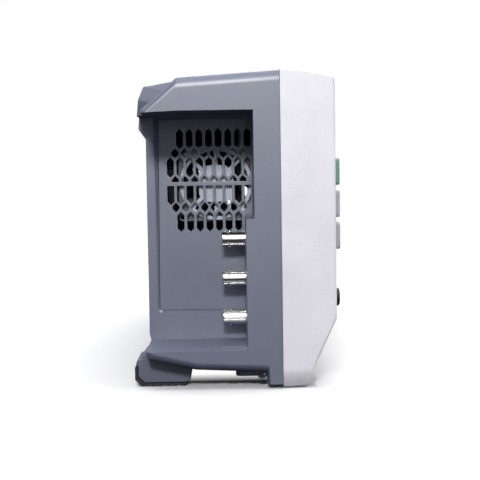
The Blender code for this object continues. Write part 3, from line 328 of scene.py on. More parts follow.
def rectangle(across, up, width, height, radius=0.0, steps=5):
    """A rectangle about its middle, with round corners."""
    half_w, half_h = width / 2, height / 2
    corners = [(-half_w, -half_h), (half_w, -half_h), (half_w, half_h), (-half_w, half_h)]
    corners = [(across + x, up + z) for x, z in corners]
    return rounded(corners, radius, steps) if radius else [Vector(corner) for corner in corners]


def house(across, up, width, height, cut_corner):
    """A rectangle about its middle, with its two top corners cut off."""
    w, h = width / 2, height / 2
    line = [(-w, -h), (w, -h), (w, h - cut_corner), (w - cut_corner, h)]
    line += [(-x, z) for x, z in line[:1:-1]]
    return [(across + x, up + z) for x, z in line]


def circle(across, up, radius, steps=48):
    turns = [math.tau * step / steps for step in range(steps)]
    return [Vector((across + radius * math.cos(turn), up + radius * math.sin(turn))) for turn in turns]


def drawn_in(outline, inset):
    """The outline with its sides moved inwards by one distance, or by one for each side."""
    points = [Vector(point) for point in outline]
    count = len(points)
    insets = [inset] * count if isinstance(inset, (int, float)) else inset
    ends = [(points[i], points[(i + 1) % count]) for i in range(count)]
    turning = 1 if sum(a.x * b.y - b.x * a.y for a, b in ends) > 0 else -1
    ways = [(b - a).normalized() for a, b in ends]
    inwards = [Vector((-way.y, way.x)) * turning for way in ways]
    made = []
    for i, point in enumerate(points):
        first, second = inwards[i - 1] * insets[i - 1], inwards[i] * insets[i]
        cross = ways[i - 1].x * ways[i].y - ways[i - 1].y * ways[i].x
        if abs(cross) < 0.05:
            made.append(point + (first + second) / 2)
            continue
        gap = second - first
        along = (gap.x * ways[i].y - gap.y * ways[i].x) / cross
        made.append(point + first + ways[i - 1] * along)
    return made


print("outline helpers ready")

# %% [markdown]
# A solid is then a stack of rings with a lid on each end. `carried` makes that stack, and rounds the
# two rims with a quarter circle of rings. `turned` spins a profile about an axis. Both build the mesh
# with bmesh, because there the rings are ours to place.

# %% Solids from rings
STATIONS = {
    "X": lambda across, up, along: Vector((along, across, up)),
    "Y": lambda across, up, along: Vector((across, along, up)),
    "Z": lambda across, up, along: Vector((across, up, along)),
}


def solid(name, shape):
    """An object from a bmesh, not yet a piece."""
    bmesh.ops.recalc_face_normals(shape, faces=shape.faces)
    mesh = bpy.data.meshes.new(name)
    shape.to_mesh(mesh)
    shape.free()
    made = bpy.data.objects.new(name, mesh)
    bpy.context.scene.collection.objects.link(made)
    return made


def stack(name, loops, endless=False):
    """A solid through loops with the same number of points: with two lids, or endless like a ring."""
    shape = bmesh.new()
    rows = [[shape.verts.new(point) for point in loop] for loop in loops]
    count = len(rows[0])
    if endless:
        rows.append(rows[0])
    for lower, upper in zip(rows, rows[1:]):
        for i in range(count):
            j = (i + 1) % count
            shape.faces.new((lower[i], lower[j], upper[j], upper[i]))
    if not endless:
        shape.faces.new(rows[0])
        shape.faces.new(rows[-1])
    return solid(name, shape)


def carried(name, axis, outline, low, high, rim=0.0, steps=4, ends=(1, 1), insets=None):
    """An outline carried along an axis. The rims at its ends are quarter circles of radius rim.

    ends says how much of the rim the low and the high end have. insets, where given, holds
    the rim's inward reach for each side of the outline."""
    station = STATIONS[axis]
    rings = []
    for place, way, share in ((low, 1, ends[0]), (high, -1, ends[1])):
        if not rim or not share:
            rings.append([(outline, place)])
            continue
        quarter = []
        for step in range(steps + 1):
            angle = math.pi / 2 * step / steps
            inward = 1 - math.sin(angle)
            reach = [value * share * inward for value in insets] if insets else rim * share * inward
            quarter.append((drawn_in(outline, reach), place + way * rim * share * (1 - math.cos(angle))))
        rings.append(quarter)
    rows = rings[0] + rings[1][::-1]
    return stack(name, [[station(p[0], p[1], along) for p in line] for line, along in rows])


def turned(name, profile, centre, along, steps=64):
    """A profile of (radius, height) from axis to axis, spun about the line along through centre."""
    along = Vector(along).normalized()
    first = along.orthogonal().normalized()
    second = along.cross(first)
    shape = bmesh.new()
    rows = []
    for radius, height in profile:
        middle = Vector(centre) + along * height
        if radius < 1e-7:
            rows.append([shape.verts.new(middle)])
            continue
        turns = [math.tau * step / steps for step in range(steps)]
        rows.append([
            shape.verts.new(middle + (first * math.cos(turn) + second * math.sin(turn)) * radius)
            for turn in turns
        ])
    for lower, upper in zip(rows, rows[1:]):
        for i in range(steps):
            j = (i + 1) % steps
            ring = ((lower, i), (lower, j), (upper, j), (upper, i))
            corners = list(dict.fromkeys(row[k % len(row)] for row, k in ring))
            if len(corners) > 2:
                shape.faces.new(corners)
    return solid(name, shape)


print("solid helpers ready")

# %% [markdown]
# Holes and unions are Boolean modifiers with the exact solver. They are applied straight away, so
# the next step sees a plain mesh. `finished` gives a mesh its material and its shading, sets it on
# the body it rides on, and hides the frame's nodes it stands for.

# %% Cutting, softening and finishing
def settle(made):
    """Turns the modifiers' result into the object's own mesh."""
    graph = bpy.context.evaluated_depsgraph_get()
    mesh = bpy.data.meshes.new_from_object(made.evaluated_get(graph))
    mesh.name = made.name
    made.modifiers.clear()
    old = made.data
    made.data = mesh
    bpy.data.meshes.remove(old)
    return made


def combine(made, others, operation):
    for other in others:
        step = made.modifiers.new(operation.lower(), "BOOLEAN")
        step.operation = operation
        step.solver = "EXACT"
        step.object = other
    settle(made)
    for other in others:
        mesh = other.data
        bpy.data.objects.remove(other, do_unlink=True)
        bpy.data.meshes.remove(mesh)
    return made


def cut(made, *others):
    return combine(made, others, "DIFFERENCE")


def join(made, *others):
    return combine(made, others, "UNION")


def together(name, parts):
    """Several solids as one mesh, each still closed in itself."""
    shape = bmesh.new()
    for part in parts:
        shape.from_mesh(part.data)
        mesh = part.data
        bpy.data.objects.remove(part, do_unlink=True)
        bpy.data.meshes.remove(mesh)
    return solid(name, shape)


def soften(made, width, segments=2, angle=32.0, chosen=None):
    """Rounds the edges that turn by more than angle. chosen may test an edge's two ends first."""
    shape = bmesh.new()
    shape.from_mesh(made.data)
    weights = shape.edges.layers.float.new("bevel_weight_edge")
    for edge in shape.edges:
        sharp = edge.is_manifold and edge.calc_face_angle() > math.radians(angle)
        if sharp and (chosen is None or chosen(edge.verts[0].co, edge.verts[1].co)):
            edge[weights] = 1.0
    shape.to_mesh(made.data)
    shape.free()
    step = made.modifiers.new("soften", "BEVEL")
    step.width = width
    step.segments = segments
    step.use_clamp_overlap = False
    step.limit_method = "WEIGHT"
    return settle(made)


def finished(made, finish, body="housing", stands_for=(), smooth=38.0):
    """Material, shading, and the piece's place in the frame."""
    made.data.materials.clear()
    made.data.materials.append(finish)
    made.data.shade_smooth()
    made.data.set_sharp_from_angle(angle=math.radians(smooth))
    weighted = made.modifiers.new("even_shading", "WEIGHTED_NORMAL")
    weighted.keep_sharp = True
    settle(made)
    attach(made, body)
    nodes = [stands_for] if isinstance(stands_for, str) else stands_for
    if nodes:
        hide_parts(*nodes)
    return made


print("cutting helpers ready")

# %% [markdown]
# ## The rear cover
# The cover is one big moulding. Its side outline has a nearly flat top, a corner folded down at the
# back, an upright back and a belly that rises to the rear. Carrying that outline along X with a
# quarter-circle rim gives the soft top edges. The rim reaches 7 mm down from the top, but less on the
# back and belly, so the sides of the outline each have their own reach.

# %% Cover body
COVER_FRONT = cover_low.y - FRONT - 0.0002
COVER_BACK = 0.1190
TOP_LINE = cover_high.z
COVER_LINE = (
    ((COVER_FRONT, TOP_LINE), 7.0),
    ((0.0960, TOP_LINE - 0.0038), 4.5),
    ((0.1185, 0.1722), 4.0),
    ((COVER_BACK, 0.1682), 4.0),
    ((COVER_BACK, 0.0280), 4.0),
    ((0.1165, 0.0180), 5.5),
    ((0.0870, 0.0116), 5.5),
    ((0.0430, 0.0095), 1.5),
    ((0.0427, 0.0018), 1.0),
    ((COVER_FRONT, 0.0018), 0.0),
)
WALL = 0.0025


def placed(line):
    """(depth, height) pairs as (Y, Z) pairs."""
    return [Vector((FRONT + depth, height)) for depth, height in line]


cover_outline = placed(point for point, _ in COVER_LINE)
cover_reach = [reach * MM for _, reach in COVER_LINE]
cover = carried("cover_shell", "X", cover_outline, -SIDE, SIDE, 0.0070, 9, insets=cover_reach)
soften(cover, 0.0011, 3, 20.0, lambda a, b: min(a.y, b.y) > FRONT + 0.0440)
print("cover body:", len(cover.data.polygons), "faces")

# %% [markdown]
# A grip stands proud along the top of the back. Its middle part has one outline, and past each end
# the outline shrinks until it lies inside the folded corner, which leaves slanted end faces.

# %% Grip along the top of the back
GRIP_FULL = 0.1480
GRIP_ENDS = 0.1700
GRIP_LINE = ((0.0955, 0.1915), (0.1185, 0.1886), (0.1220, 0.1804), (0.1237, 0.1626), (0.1183, 0.1550))
GRIP_END_LINE = ((0.0955, 0.1905), (0.1040, 0.1833), (0.1110, 0.1772), (0.1182, 0.1640), (0.1180, 0.1560))
GRIP_FOOT = ((0.1120, 0.1550), (0.0950, 0.1850))
grip_rings = []
for x, line in ((-GRIP_ENDS, GRIP_END_LINE), (-GRIP_FULL, GRIP_LINE), (GRIP_FULL, GRIP_LINE),
                (GRIP_ENDS, GRIP_END_LINE)):
    grip_rings.append([at(x, depth, height) for depth, height in (*line, *GRIP_FOOT)])
grip = stack("grip", grip_rings)
soften(grip, 0.0009, 3, 12.0)
join(cover, grip)
print("grip joined:", len(cover.data.polygons), "faces")

# %% [markdown]
# The bay is a notch through the left side and the back. Cutting it leaves knife edges, so the edges
# of its mouth are then rounded by half a millimetre. They are found by place: both their ends lie on
# the bay's outline in the side face, or on the bay's corners at the back.

# %% Connector bay
BAY_WALL = -0.1300
BAY_FLOOR = 0.0245
BAY_CEILING = 0.1711
BAY_STEP = 0.1048
BAY_UPPER = 0.0498
BAY_LOWER = 0.0550
BEYOND = 0.0200


def bay_outline(grow=0.0):
    return placed((
        (COVER_BACK + BEYOND, BAY_CEILING - 0.0018 + grow),
        (0.0960, BAY_CEILING + grow),
        (BAY_UPPER - grow, BAY_CEILING + grow),
        (BAY_UPPER - grow, BAY_STEP - grow),
        (BAY_LOWER - grow, BAY_STEP - grow),
        (BAY_LOWER - grow, BAY_FLOOR - grow),
        (COVER_BACK + BEYOND, BAY_FLOOR - 0.0011 - grow),
    ))


def bay_block(name, grow=0.0):
    return carried(name, "X", bay_outline(grow), -SIDE - BEYOND, BAY_WALL + grow)


def is_bay_mouth(first, second):
    """True for the edges where the bay meets the side face, and for those at its open back."""
    in_bay = all(
        BAY_FLOOR - 0.003 < end.z < BAY_CEILING + 0.001 and end.y > FRONT + BAY_UPPER - 0.0002
        for end in (first, second)
    )
    on_side = all(abs(end.x + SIDE) < 0.0001 for end in (first, second))
    on_back = all(end.y > FRONT + 0.1100 and end.x < BAY_WALL + 0.0001 for end in (first, second))
    along_x = abs(first.x - second.x) > 0.5 * (first - second).length
    upright_back = on_back and all(abs(end.x - BAY_WALL) < 0.0001 for end in (first, second))
    return in_bay and (on_side or upright_back or (on_back and along_x and first.z < 0.1))


cut(cover, bay_block("bay"))
soften(cover, 0.0005, 2, chosen=is_bay_mouth)
print("bay cut:", len(cover.data.polygons), "faces")

# %% [markdown]
# Inside, the cover is hollow with 2.5 mm walls, and the bay has walls of its own. A tongue along the
# front edge slips inside the bezel and closes the seam.

# %% Hollow and tongue
HOLLOW_LINE = (
    (COVER_FRONT - 0.010, TOP_LINE - WALL),
    (0.0950, TOP_LINE - 0.0038 - WALL),
    (0.1150, 0.1705),
    (COVER_BACK - WALL, 0.1660),
    (COVER_BACK - WALL, 0.0280),
    (0.1140, 0.0205),
    (0.0870, 0.0141),
    (0.0405, 0.0120),
    (0.0405, 0.0043),
    (COVER_FRONT - 0.010, 0.0043),
)
hollow_outline = placed(HOLLOW_LINE)
hollow = carried("hollow", "X", hollow_outline, -SIDE + WALL, SIDE - WALL, 0.0045, 3)
cut(hollow, bay_block("bay_with_walls", WALL))
cut(cover, hollow)
TONGUE = 0.0030
tongue_outline = placed((
    (COVER_FRONT - TONGUE, TOP_LINE - WALL - 0.0004),
    (COVER_FRONT + TONGUE, TOP_LINE - WALL - 0.0004),
    (COVER_FRONT + TONGUE, 0.0046),
    (COVER_FRONT - TONGUE, 0.0046),
))
tongue = carried("tongue", "X", tongue_outline, -SIDE + WALL + 0.0006, SIDE - WALL - 0.0006)
tongue_bore_outline = placed((
    (COVER_FRONT - TONGUE * 2, TOP_LINE - WALL * 2),
    (COVER_FRONT + TONGUE * 2, TOP_LINE - WALL * 2),
    (COVER_FRONT + TONGUE * 2, 0.0070),
    (COVER_FRONT - TONGUE * 2, 0.0070),
))
cut(tongue, carried("tongue_bore", "X", tongue_bore_outline, -SIDE + WALL * 2, SIDE - WALL * 2))
print("hollow cut:", len(cover.data.polygons), "faces")

# %% [markdown]
# The bay's inner wall has an opening for the vent, with sloping edges that lead down to the sunk
# grille. A cutter that widens towards the bay makes the slope. The slope is wide on the rear side at
# the top, and narrow at the bottom.

# %% Vent opening
VENT_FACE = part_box("vent_panel")[0].x
VENT_LOW = 0.0430
VENT_HIGH = 0.1690
VENT_BACK = 0.1108
VENT_BACK_LOW = 0.1120
VENT_SLOPE = 0.1142
SLOPE_GROW = 0.0014
VENT_FRONT = BAY_UPPER - 0.0012


def vent_outline(back_top, back_low, grow):
    front = FRONT + VENT_FRONT - grow * 0.2
    corners = [
        Vector((FRONT + back_top, VENT_HIGH + grow)),
        Vector((front, VENT_HIGH + grow)),
        Vector((front, BAY_STEP + 0.0007)),
        Vector((front + BAY_LOWER - BAY_UPPER, BAY_STEP + 0.0007)),
        Vector((front + BAY_LOWER - BAY_UPPER, VENT_LOW - grow)),
        Vector((FRONT + back_low, VENT_LOW - grow)),
    ]
    return rounded(corners, [0.0, 0.0, 0.0, 0.0, 0.0, 0.0030], 6)


wide = vent_outline(VENT_SLOPE, VENT_SLOPE, SLOPE_GROW)
narrow = vent_outline(VENT_BACK, VENT_BACK_LOW, 0.0)
vent_stations = (
    (BAY_WALL - 0.0040, wide), (BAY_WALL, wide), (VENT_FACE, narrow), (BAY_WALL + 0.0055, narrow),
)
vent_rings = [[Vector((x, p.x, p.y)) for p in line] for x, line in vent_stations]
cut(cover, stack("vent_opening", vent_rings))
print("vent opening cut")

# %% [markdown]
# The remaining holes are simple: twelve air slots with round ends in the right side, holes for the
# inlet and the two ports at the back, four screw wells, and three holes for the jacks in the bay.

# %% Air slots, ports, wells and jack holes
SLOTS = 12
SLOT_FIRST = 0.0480
SLOT_PITCH = 0.0055
SLOT_MIDDLE = 0.1200
SLOT_WIDTH = 0.0028
SLOT_HEIGHT = 0.0420
slots = []
for number in range(SLOTS):
    y = FRONT + SLOT_FIRST + number * SLOT_PITCH
    slot = rectangle(y, SLOT_MIDDLE, SLOT_WIDTH, SLOT_HEIGHT, SLOT_WIDTH * 0.49, 6)
    slots.append(carried(f"slot_{number}", "X", slot, SIDE - BEYOND, SIDE + BEYOND))
holes = []
inlet_low, inlet_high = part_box("mains_inlet")
inlet_x, inlet_z = (inlet_low.x + inlet_high.x) / 2, (inlet_low.z + inlet_high.z) / 2
back_holes = [(inlet_x, inlet_z, 0.0272, 0.0592, 0.0010)]
for name in ("lan_socket", "usb_device_port"):
    low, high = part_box(name)
    middle = (low + high) / 2
    back_holes.append((middle.x, middle.z, high.x - low.x + 0.0006, high.z - low.z + 0.0006, 0.0006))
for x, z, width, height, corner in back_holes:
    shape = rectangle(x, z, width, height, corner)
    holes.append(carried("back_hole", "Y", shape, FRONT + COVER_BACK - 0.010, FRONT + COVER_BACK + 0.010))
WELL = (
    (0, -0.012), (0.0022, -0.012), (0.0022, -0.0013), (0.0034, -0.0013), (0.0034, 0.0),
    (0.0039, 0.0005), (0.0039, 0.010), (0, 0.010),
)
for number in range(1, 5):
    low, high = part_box(f"cover_screw_{number}")
    x, z = (low.x + high.x) / 2, (low.z + high.z) / 2
    holes.append(turned("well", WELL, at(x, COVER_BACK, z), (0, 1, 0), 32))
for word in ("top", "middle", "bottom"):
    low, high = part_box(word + "_bay_jack")
    middle = (low + high) / 2
    hole = circle(middle.x, middle.z, 0.0051, 40)
    holes.append(carried("jack_hole", "Y", hole, FRONT + BAY_LOWER - 0.010, FRONT + BAY_LOWER + 0.010))
cut(cover, together("slots", slots))
cut(cover, together("holes", holes))
cover = together("cover_shell", [cover, tongue])
finished(cover, SLATE_ABS, "housing", "rear_cover")
print("cover finished:", len(cover.data.polygons), "faces")

# %% [markdown]
# ## The vent grille
# The grille is a thin plate with upright hexagonal holes on one lattice: tall ones in four rows, and
# short ones between the rows at half columns. A 2D curve with many closed splines is the quickest way
# to make such a plate: Blender fills it with the holes left open, and its bevel eases every edge.

# %% Plates with holes
def flat_curve(name, outlines, extrude):
    """A filled 2D curve. An outline inside another one is a hole."""
    curve = bpy.data.curves.new(name, "CURVE")
    curve.dimensions = "2D"
    curve.fill_mode = "BOTH"
    curve.extrude = extrude
    for line in outlines:
        spline = curve.splines.new("POLY")
        spline.points.add(len(line) - 1)
        for point, place in zip(spline.points, line):
            point.co = (place[0], place[1], 0.0, 1.0)
        spline.use_cyclic_u = True
    return curve


def filled(name, curve):
    """The curve's mesh, with the seams between its faces and sides welded."""
    drawn = bpy.data.objects.new(name, curve)
    bpy.context.scene.collection.objects.link(drawn)
    graph = bpy.context.evaluated_depsgraph_get()
    mesh = bpy.data.meshes.new_from_object(drawn.evaluated_get(graph))
    bpy.data.objects.remove(drawn, do_unlink=True)
    shape = bmesh.new()
    shape.from_mesh(mesh)
    bpy.data.meshes.remove(mesh)
    bmesh.ops.remove_doubles(shape, verts=shape.verts, dist=1e-7)
    return shape


def plate(name, outline, holes, low, high, ease, axis="X"):
    """A flat plate with holes between two stations of an axis, with every edge eased."""
    curve = flat_curve(name, (outline, *holes), (high - low) / 2 - ease)
    curve.bevel_depth = ease
    curve.bevel_resolution = 1
    curve.offset = -ease
    shape = filled(name, curve)
    for corner in shape.verts:
        corner.co = STATIONS[axis](corner.co.x, corner.co.y, corner.co.z + (low + high) / 2)
    return solid(name, shape)


print("plate helpers ready")

# %% [markdown]
# The grille's holes sit on columns 6.3 mm apart. A tall hole has a point at each end, except where two
# rows meet a level bar across the middle. There the ends are flat.

# %% Vent grille
PITCH = 0.00634
FIRST_COLUMN = 0.1033
SHORT_COLUMNS = 8
POINT = 0.0023
HALF_WIDE = 0.00222
TALL_ROWS = ((0.1494, 0.1626, 1, 8), (0.1307, 0.1439, 0, 8), (0.1127, 0.1252, 0, 8), (0.0949, 0.1081, 1, 7))
SHORT_ROWS = ((0.1433, 0.1497), (0.1278, 0.1317), (0.1078, 0.1142))
BAR_HIGH = SHORT_ROWS[1][0]
BAR_LOW = TALL_ROWS[2][1]


def hexagon(depth, low, high):
    """An upright hexagon. Its ends are pointed, but flat where they meet the level bar."""
    top = [(HALF_WIDE, high - POINT), (0, high), (-HALF_WIDE, high - POINT)]
    bottom = [(-HALF_WIDE, low + POINT), (0, low), (HALF_WIDE, low + POINT)]
    if high == BAR_LOW:
        top = [(HALF_WIDE, high), (-HALF_WIDE, high)]
    if low == BAR_HIGH:
        bottom = [(-HALF_WIDE, low), (HALF_WIDE, low)]
    return [Vector((FRONT + depth + across, height)) for across, height in top + bottom]


grille_holes = []
for low, high, first, last in TALL_ROWS:
    for column in range(first, last + 1):
        grille_holes.append(hexagon(FIRST_COLUMN - column * PITCH, low, high))
for low, high in SHORT_ROWS:
    for column in range(SHORT_COLUMNS):
        grille_holes.append(hexagon(FIRST_COLUMN - (column + 0.5) * PITCH, low, high))
grille_outline = drawn_in(narrow, 0.0002)
grille = plate("vent_grille", grille_outline, grille_holes, VENT_FACE, VENT_FACE + 0.0020, 0.00022)
finished(grille, SLATE_ABS, "housing", "vent_panel")
print("grille:", len(grille_holes), "holes,", len(grille.data.polygons), "faces")

# %% [markdown]
# ## The fan
# Close behind the grille sits a stamped finger guard: a centre plate with cut corners, a ring, eight
# spokes and four ears. The spokes are a hair thinner than the ring and the plate, so that no two
# faces lie in the same plane where they cross.

# %% Finger guard
fan_low, fan_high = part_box("fan_frame")
FAN_MIDDLE = (fan_low + fan_high) / 2
guard_low, guard_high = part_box("fan_guard")
RING = 0.0228
BAND = 0.0024
HUB_PLATE = (0.0225, 0.0240)
HUB_CORNER = 0.0045
SPOKE = 0.0024
EAR = 0.0283
COATED_STEEL = moulded("coated_steel", (0.46, 0.49, 0.60), 0.48, 1200.0, 0.00001)


def spoke(angle, inner, outer, width, low, high, rim):
    """A straight bar that runs out from the fan's axis."""
    out = Vector((math.cos(angle), math.sin(angle)))
    aside = Vector((-out.y, out.x)) * width / 2
    middle = Vector((FAN_MIDDLE.y, FAN_MIDDLE.z))
    line = [middle + out * inner - aside, middle + out * outer - aside,
            middle + out * outer + aside, middle + out * inner + aside]
    return carried("spoke", "X", line, low, high, rim, 2)


ring_hole = circle(FAN_MIDDLE.y, FAN_MIDDLE.z, RING - BAND / 2, 72)
ring_edge = circle(FAN_MIDDLE.y, FAN_MIDDLE.z, RING + BAND / 2, 72)
guard_parts = [plate("guard_ring", ring_edge, [ring_hole], guard_low.x, guard_high.x, 0.00015)]
half_y, half_z = HUB_PLATE[0] / 2, HUB_PLATE[1] / 2
corners = [(half_y - HUB_CORNER, half_z), (half_y, half_z - HUB_CORNER)]
corners += [(y, -z) for y, z in corners[::-1]]
corners += [(-y, z) for y, z in corners[::-1]]
hub_edge = rounded([(FAN_MIDDLE.y + y, FAN_MIDDLE.z + z) for y, z in corners], 0.0015, 3)
guard_parts.append(carried("hub_plate", "X", hub_edge, guard_low.x, guard_high.x, 0.00015, 2))
THINNER = 0.00005
spoke_faces = (guard_low.x + THINNER, guard_high.x - THINNER)
for number in range(8):
    reach = EAR if number % 2 else RING
    guard_parts.append(spoke(number * math.pi / 4, half_y / 2, reach, SPOKE, *spoke_faces, 0.00012))
guard = together("fan_finger_guard", guard_parts)
finished(guard, COATED_STEEL, "housing", "fan_guard")
print("guard:", len(guard_parts), "parts")

# %% [markdown]
# The fan's frame is a moulded square with a round bore, four screw holes and a motor plate on four
# struts. The square is a plate with holes, like the grille, and the struts are spokes like the guard's.

# %% Fan frame
fan_half = (fan_high.y - fan_low.y) / 2
BORE = fan_half * 0.945
bolt = fan_half * 0.88
frame_edge = rectangle(FAN_MIDDLE.y, FAN_MIDDLE.z, fan_half * 2, fan_half * 2, 0.0040)
frame_holes = [circle(FAN_MIDDLE.y, FAN_MIDDLE.z, BORE, 72)]
for across, up in ((-1, -1), (1, -1), (1, 1), (-1, 1)):
    frame_holes.append(circle(FAN_MIDDLE.y + across * bolt, FAN_MIDDLE.z + up * bolt, 0.0018, 16))
frame_parts = [plate("frame_ring", frame_edge, frame_holes, fan_low.x, fan_high.x, 0.0004)]
motor_plate = circle(FAN_MIDDLE.y, FAN_MIDDLE.z, 0.0128, 40)
frame_parts.append(carried("motor_plate", "X", motor_plate, fan_low.x, fan_low.x + 0.0026, 0.0004, 2))
strut_faces = (fan_low.x + THINNER, fan_low.x + 0.0021)
for number in range(4):
    angle = math.pi / 4 + number * math.pi / 2
    frame_parts.append(spoke(angle, 0.010, BORE + 0.001, 0.0030, *strut_faces, 0.0003))
fan_frame = together("fan_housing", frame_parts)
finished(fan_frame, BLACK_ABS, "housing", "fan_frame")
print("fan frame:", round(fan_half * 2 / MM), "mm square")

# %% [markdown]
# The rotor is a hub with seven swept blades. Each blade is a stack of thin sections, and each section
# is laid round the axis at its own radius. The pitch gets flatter towards the tip, as a real
# impeller's does, because the tip moves faster.

# %% Fan rotor
rotor_low, rotor_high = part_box("fan_rotor")
rotor_deep = rotor_high.x - rotor_low.x
HUB = 0.0122
BLADES = 7
BLADE_ROOT = HUB - 0.0010
BLADE_TIP = BORE - 0.0010
BLADE_STEPS = 5
HALF_THICK = 0.0006
SECTION = ((-1, 0), (-0.5, 0.7), (0.4, 1), (1, 0.3), (1, -0.3), (0.4, -0.6), (-0.5, -0.7))
hub_profile = ((0, 0), (HUB - 0.0008, 0), (HUB, 0.0008), (HUB, rotor_deep), (0, rotor_deep))
hub_centre = (rotor_low.x, FAN_MIDDLE.y, FAN_MIDDLE.z)
rotor_parts = [turned("hub", hub_profile, hub_centre, (1, 0, 0), 48)]
blade_x = (rotor_low.x + rotor_high.x) / 2


def blade_section(first_turn, share):
    """A blade's section at a share of the way from its root to its tip."""
    radius = BLADE_ROOT * (1 - share) + BLADE_TIP * share
    pitch = math.radians(48 - 20 * share)
    half_chord = min(0.0052 + 0.0030 * share, rotor_deep / 2 / math.sin(pitch) * 0.95)
    loop = []
    for along, thick in SECTION:
        length, depth = along * half_chord, thick * HALF_THICK
        turn = first_turn + 0.32 * share + (length * math.cos(pitch) - depth * math.sin(pitch)) / radius
        x = blade_x + length * math.sin(pitch) + depth * math.cos(pitch)
        y, z = FAN_MIDDLE.y + radius * math.cos(turn), FAN_MIDDLE.z + radius * math.sin(turn)
        loop.append(Vector((x, y, z)))
    return loop


for number in range(BLADES):
    first_turn = number * math.tau / BLADES
    sections = [blade_section(first_turn, step / BLADE_STEPS) for step in range(BLADE_STEPS + 1)]
    rotor_parts.append(stack("blade", sections))
rotor = together("fan_impeller", rotor_parts)
finished(rotor, BLACK_ABS, "fan_rotor", "fan_rotor")
print("rotor:", BLADES, "blades")

# %% [markdown]
# ## The front bezel
# The bezel's top is a shallow crown that falls towards the front, and its chin slants back to a flared
# lip. The crown is a parabola, so a few computed points give it. The side outline is carried across
# the full width with a small rim.

# %% Bezel body
CROWN_DROP = 0.0052
FACE_BOTTOM = 0.0430


def crown(start, end, lower=0.0, steps=8):
    line = []
    for step in range(steps + 1):
        depth = start + (end - start) * step / steps
        fall = CROWN_DROP * max(0.0, (SEAM - depth) / SEAM) ** 2
        line.append((depth, bezel_high.z - fall - lower))
    return line


top_line = crown(SEAM, 0.0)
bezel_line = [*top_line, (0.0, FACE_BOTTOM), (0.0150, 0.0113), (0.0130, 0.0055), (0.0180, 0.0018),
              (0.0265, 0.0008), (SEAM, 0.0008)]
bezel_corners = [0.0] * (len(top_line) - 1) + [0.0022, 0.0060, 0.0025, 0.0012, 0.0030, 0.0020, 0.0]
bezel_outline = rounded(placed(bezel_line), bezel_corners, 4)
reach = []
for index, point in enumerate(bezel_outline):
    after = bezel_outline[(index + 1) % len(bezel_outline)]
    at_seam = abs(point.x - bezel_high.y) < 1e-6 and abs(after.x - bezel_high.y) < 1e-6
    reach.append(0.0 if at_seam else 0.0008 if max(point.y, after.y) < 0.0125 else 0.0016)
bezel = carried("bezel_shell", "X", bezel_outline, -SIDE, SIDE, 0.0016, 5, insets=reach)
print("bezel body:", len(bezel.data.polygons), "faces")

# %% [markdown]
# Near the table the sides curve inwards under the lip. A cutter with a curved flank on each side does
# that. The inside is hollowed with walls of 2.5 mm.

# %% Lip curve and hollow
LIP_TOP = 0.0165
LIP_INSET = 0.0062


def lip_cutter(way):
    line = [Vector((way * (SIDE + 0.010), -0.010))]
    for step in range(9):
        share = step / 8
        height = LIP_TOP * share - 0.004
        inward = LIP_INSET * (1 - math.sin(math.pi / 2 * share)) - 0.00001
        line.append(Vector((way * (SIDE - inward), height)))
    line.append(Vector((way * (SIDE + 0.010), LIP_TOP)))
    return carried("lip", "Y", line, FRONT - 0.010, FRONT + SEAM + 0.010)


cut(bezel, lip_cutter(-1), lip_cutter(1))
inside = placed([*crown(SEAM + 0.010, WALL, WALL), (WALL, FACE_BOTTOM), (0.0162, 0.0138), (0.0205, 0.0033),
                 (SEAM + 0.010, 0.0033)])
cut(bezel, carried("bezel_hollow", "X", inside, -SIDE + WALL, SIDE - WALL, 0.0010, 2))
print("bezel hollowed:", len(bezel.data.polygons), "faces")

# %% [markdown]
# The front has a recess for the screen's glass, an opening behind it, and a hole for every key, jack,
# knob and port. Their places come from the frame's nodes: a key's cap is its node less the flange
# that holds it behind the bezel.

# %% Front openings
FLANGE = 0.0012
CLEAR = 0.0004
left_keys = ("run_key", "mode_key", "store_key")
number_keys = tuple(f"key_{digit}" for digit in range(10)) + ("key_point", "key_sign")
small_keys = (*number_keys, "arrow_left_key", "arrow_right_key", "output_1_key", "output_2_key")
HOLE_FROM, HOLE_TO = FRONT - 0.010, FRONT + 0.010


def cap_of(name):
    """Middle X, middle Z, width, height and front Y of a key's cap."""
    low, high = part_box(name)
    return ((low.x + high.x) / 2, (low.z + high.z) / 2, high.x - low.x - 2 * FLANGE,
            high.z - low.z - 2 * FLANGE, low.y)


openings = []
for name in (*left_keys, *small_keys):
    x, z, width, height, _ = cap_of(name)
    shape = rectangle(x, z, width + 2 * CLEAR, height + 2 * CLEAR, 0.0014)
    openings.append(carried("hole", "Y", shape, HOLE_FROM, HOLE_TO))
round_holes = (("power_button", FLANGE - CLEAR), ("output_1_jack", -CLEAR), ("output_2_jack", -CLEAR))
for name, shrink in round_holes:
    low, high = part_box(name)
    shape = circle((low.x + high.x) / 2, (low.z + high.z) / 2, (high.x - low.x) / 2 - shrink)
    openings.append(carried("hole", "Y", shape, HOLE_FROM, HOLE_TO))
knob_low, knob_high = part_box("control_knob")
knob_x, knob_z = (knob_low.x + knob_high.x) / 2, (knob_low.z + knob_high.z) / 2
openings.append(carried("hole", "Y", circle(knob_x, knob_z, 0.0037, 32), HOLE_FROM, HOLE_TO))
usb_low, usb_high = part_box("usb_host_port")
usb_x, usb_z = (usb_low.x + usb_high.x) / 2, (usb_low.z + usb_high.z) / 2
usb_w, usb_h = usb_high.x - usb_low.x, usb_high.z - usb_low.z
shape = rectangle(usb_x, usb_z, usb_w + 2 * CLEAR, usb_h + 2 * CLEAR, 0.0005)
openings.append(carried("hole", "Y", shape, HOLE_FROM, HOLE_TO))
glass_low, glass_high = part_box("display_window")
glass_x, glass_z = (glass_low.x + glass_high.x) / 2, (glass_low.z + glass_high.z) / 2
glass_w, glass_h = glass_high.x - glass_low.x, glass_high.z - glass_low.z
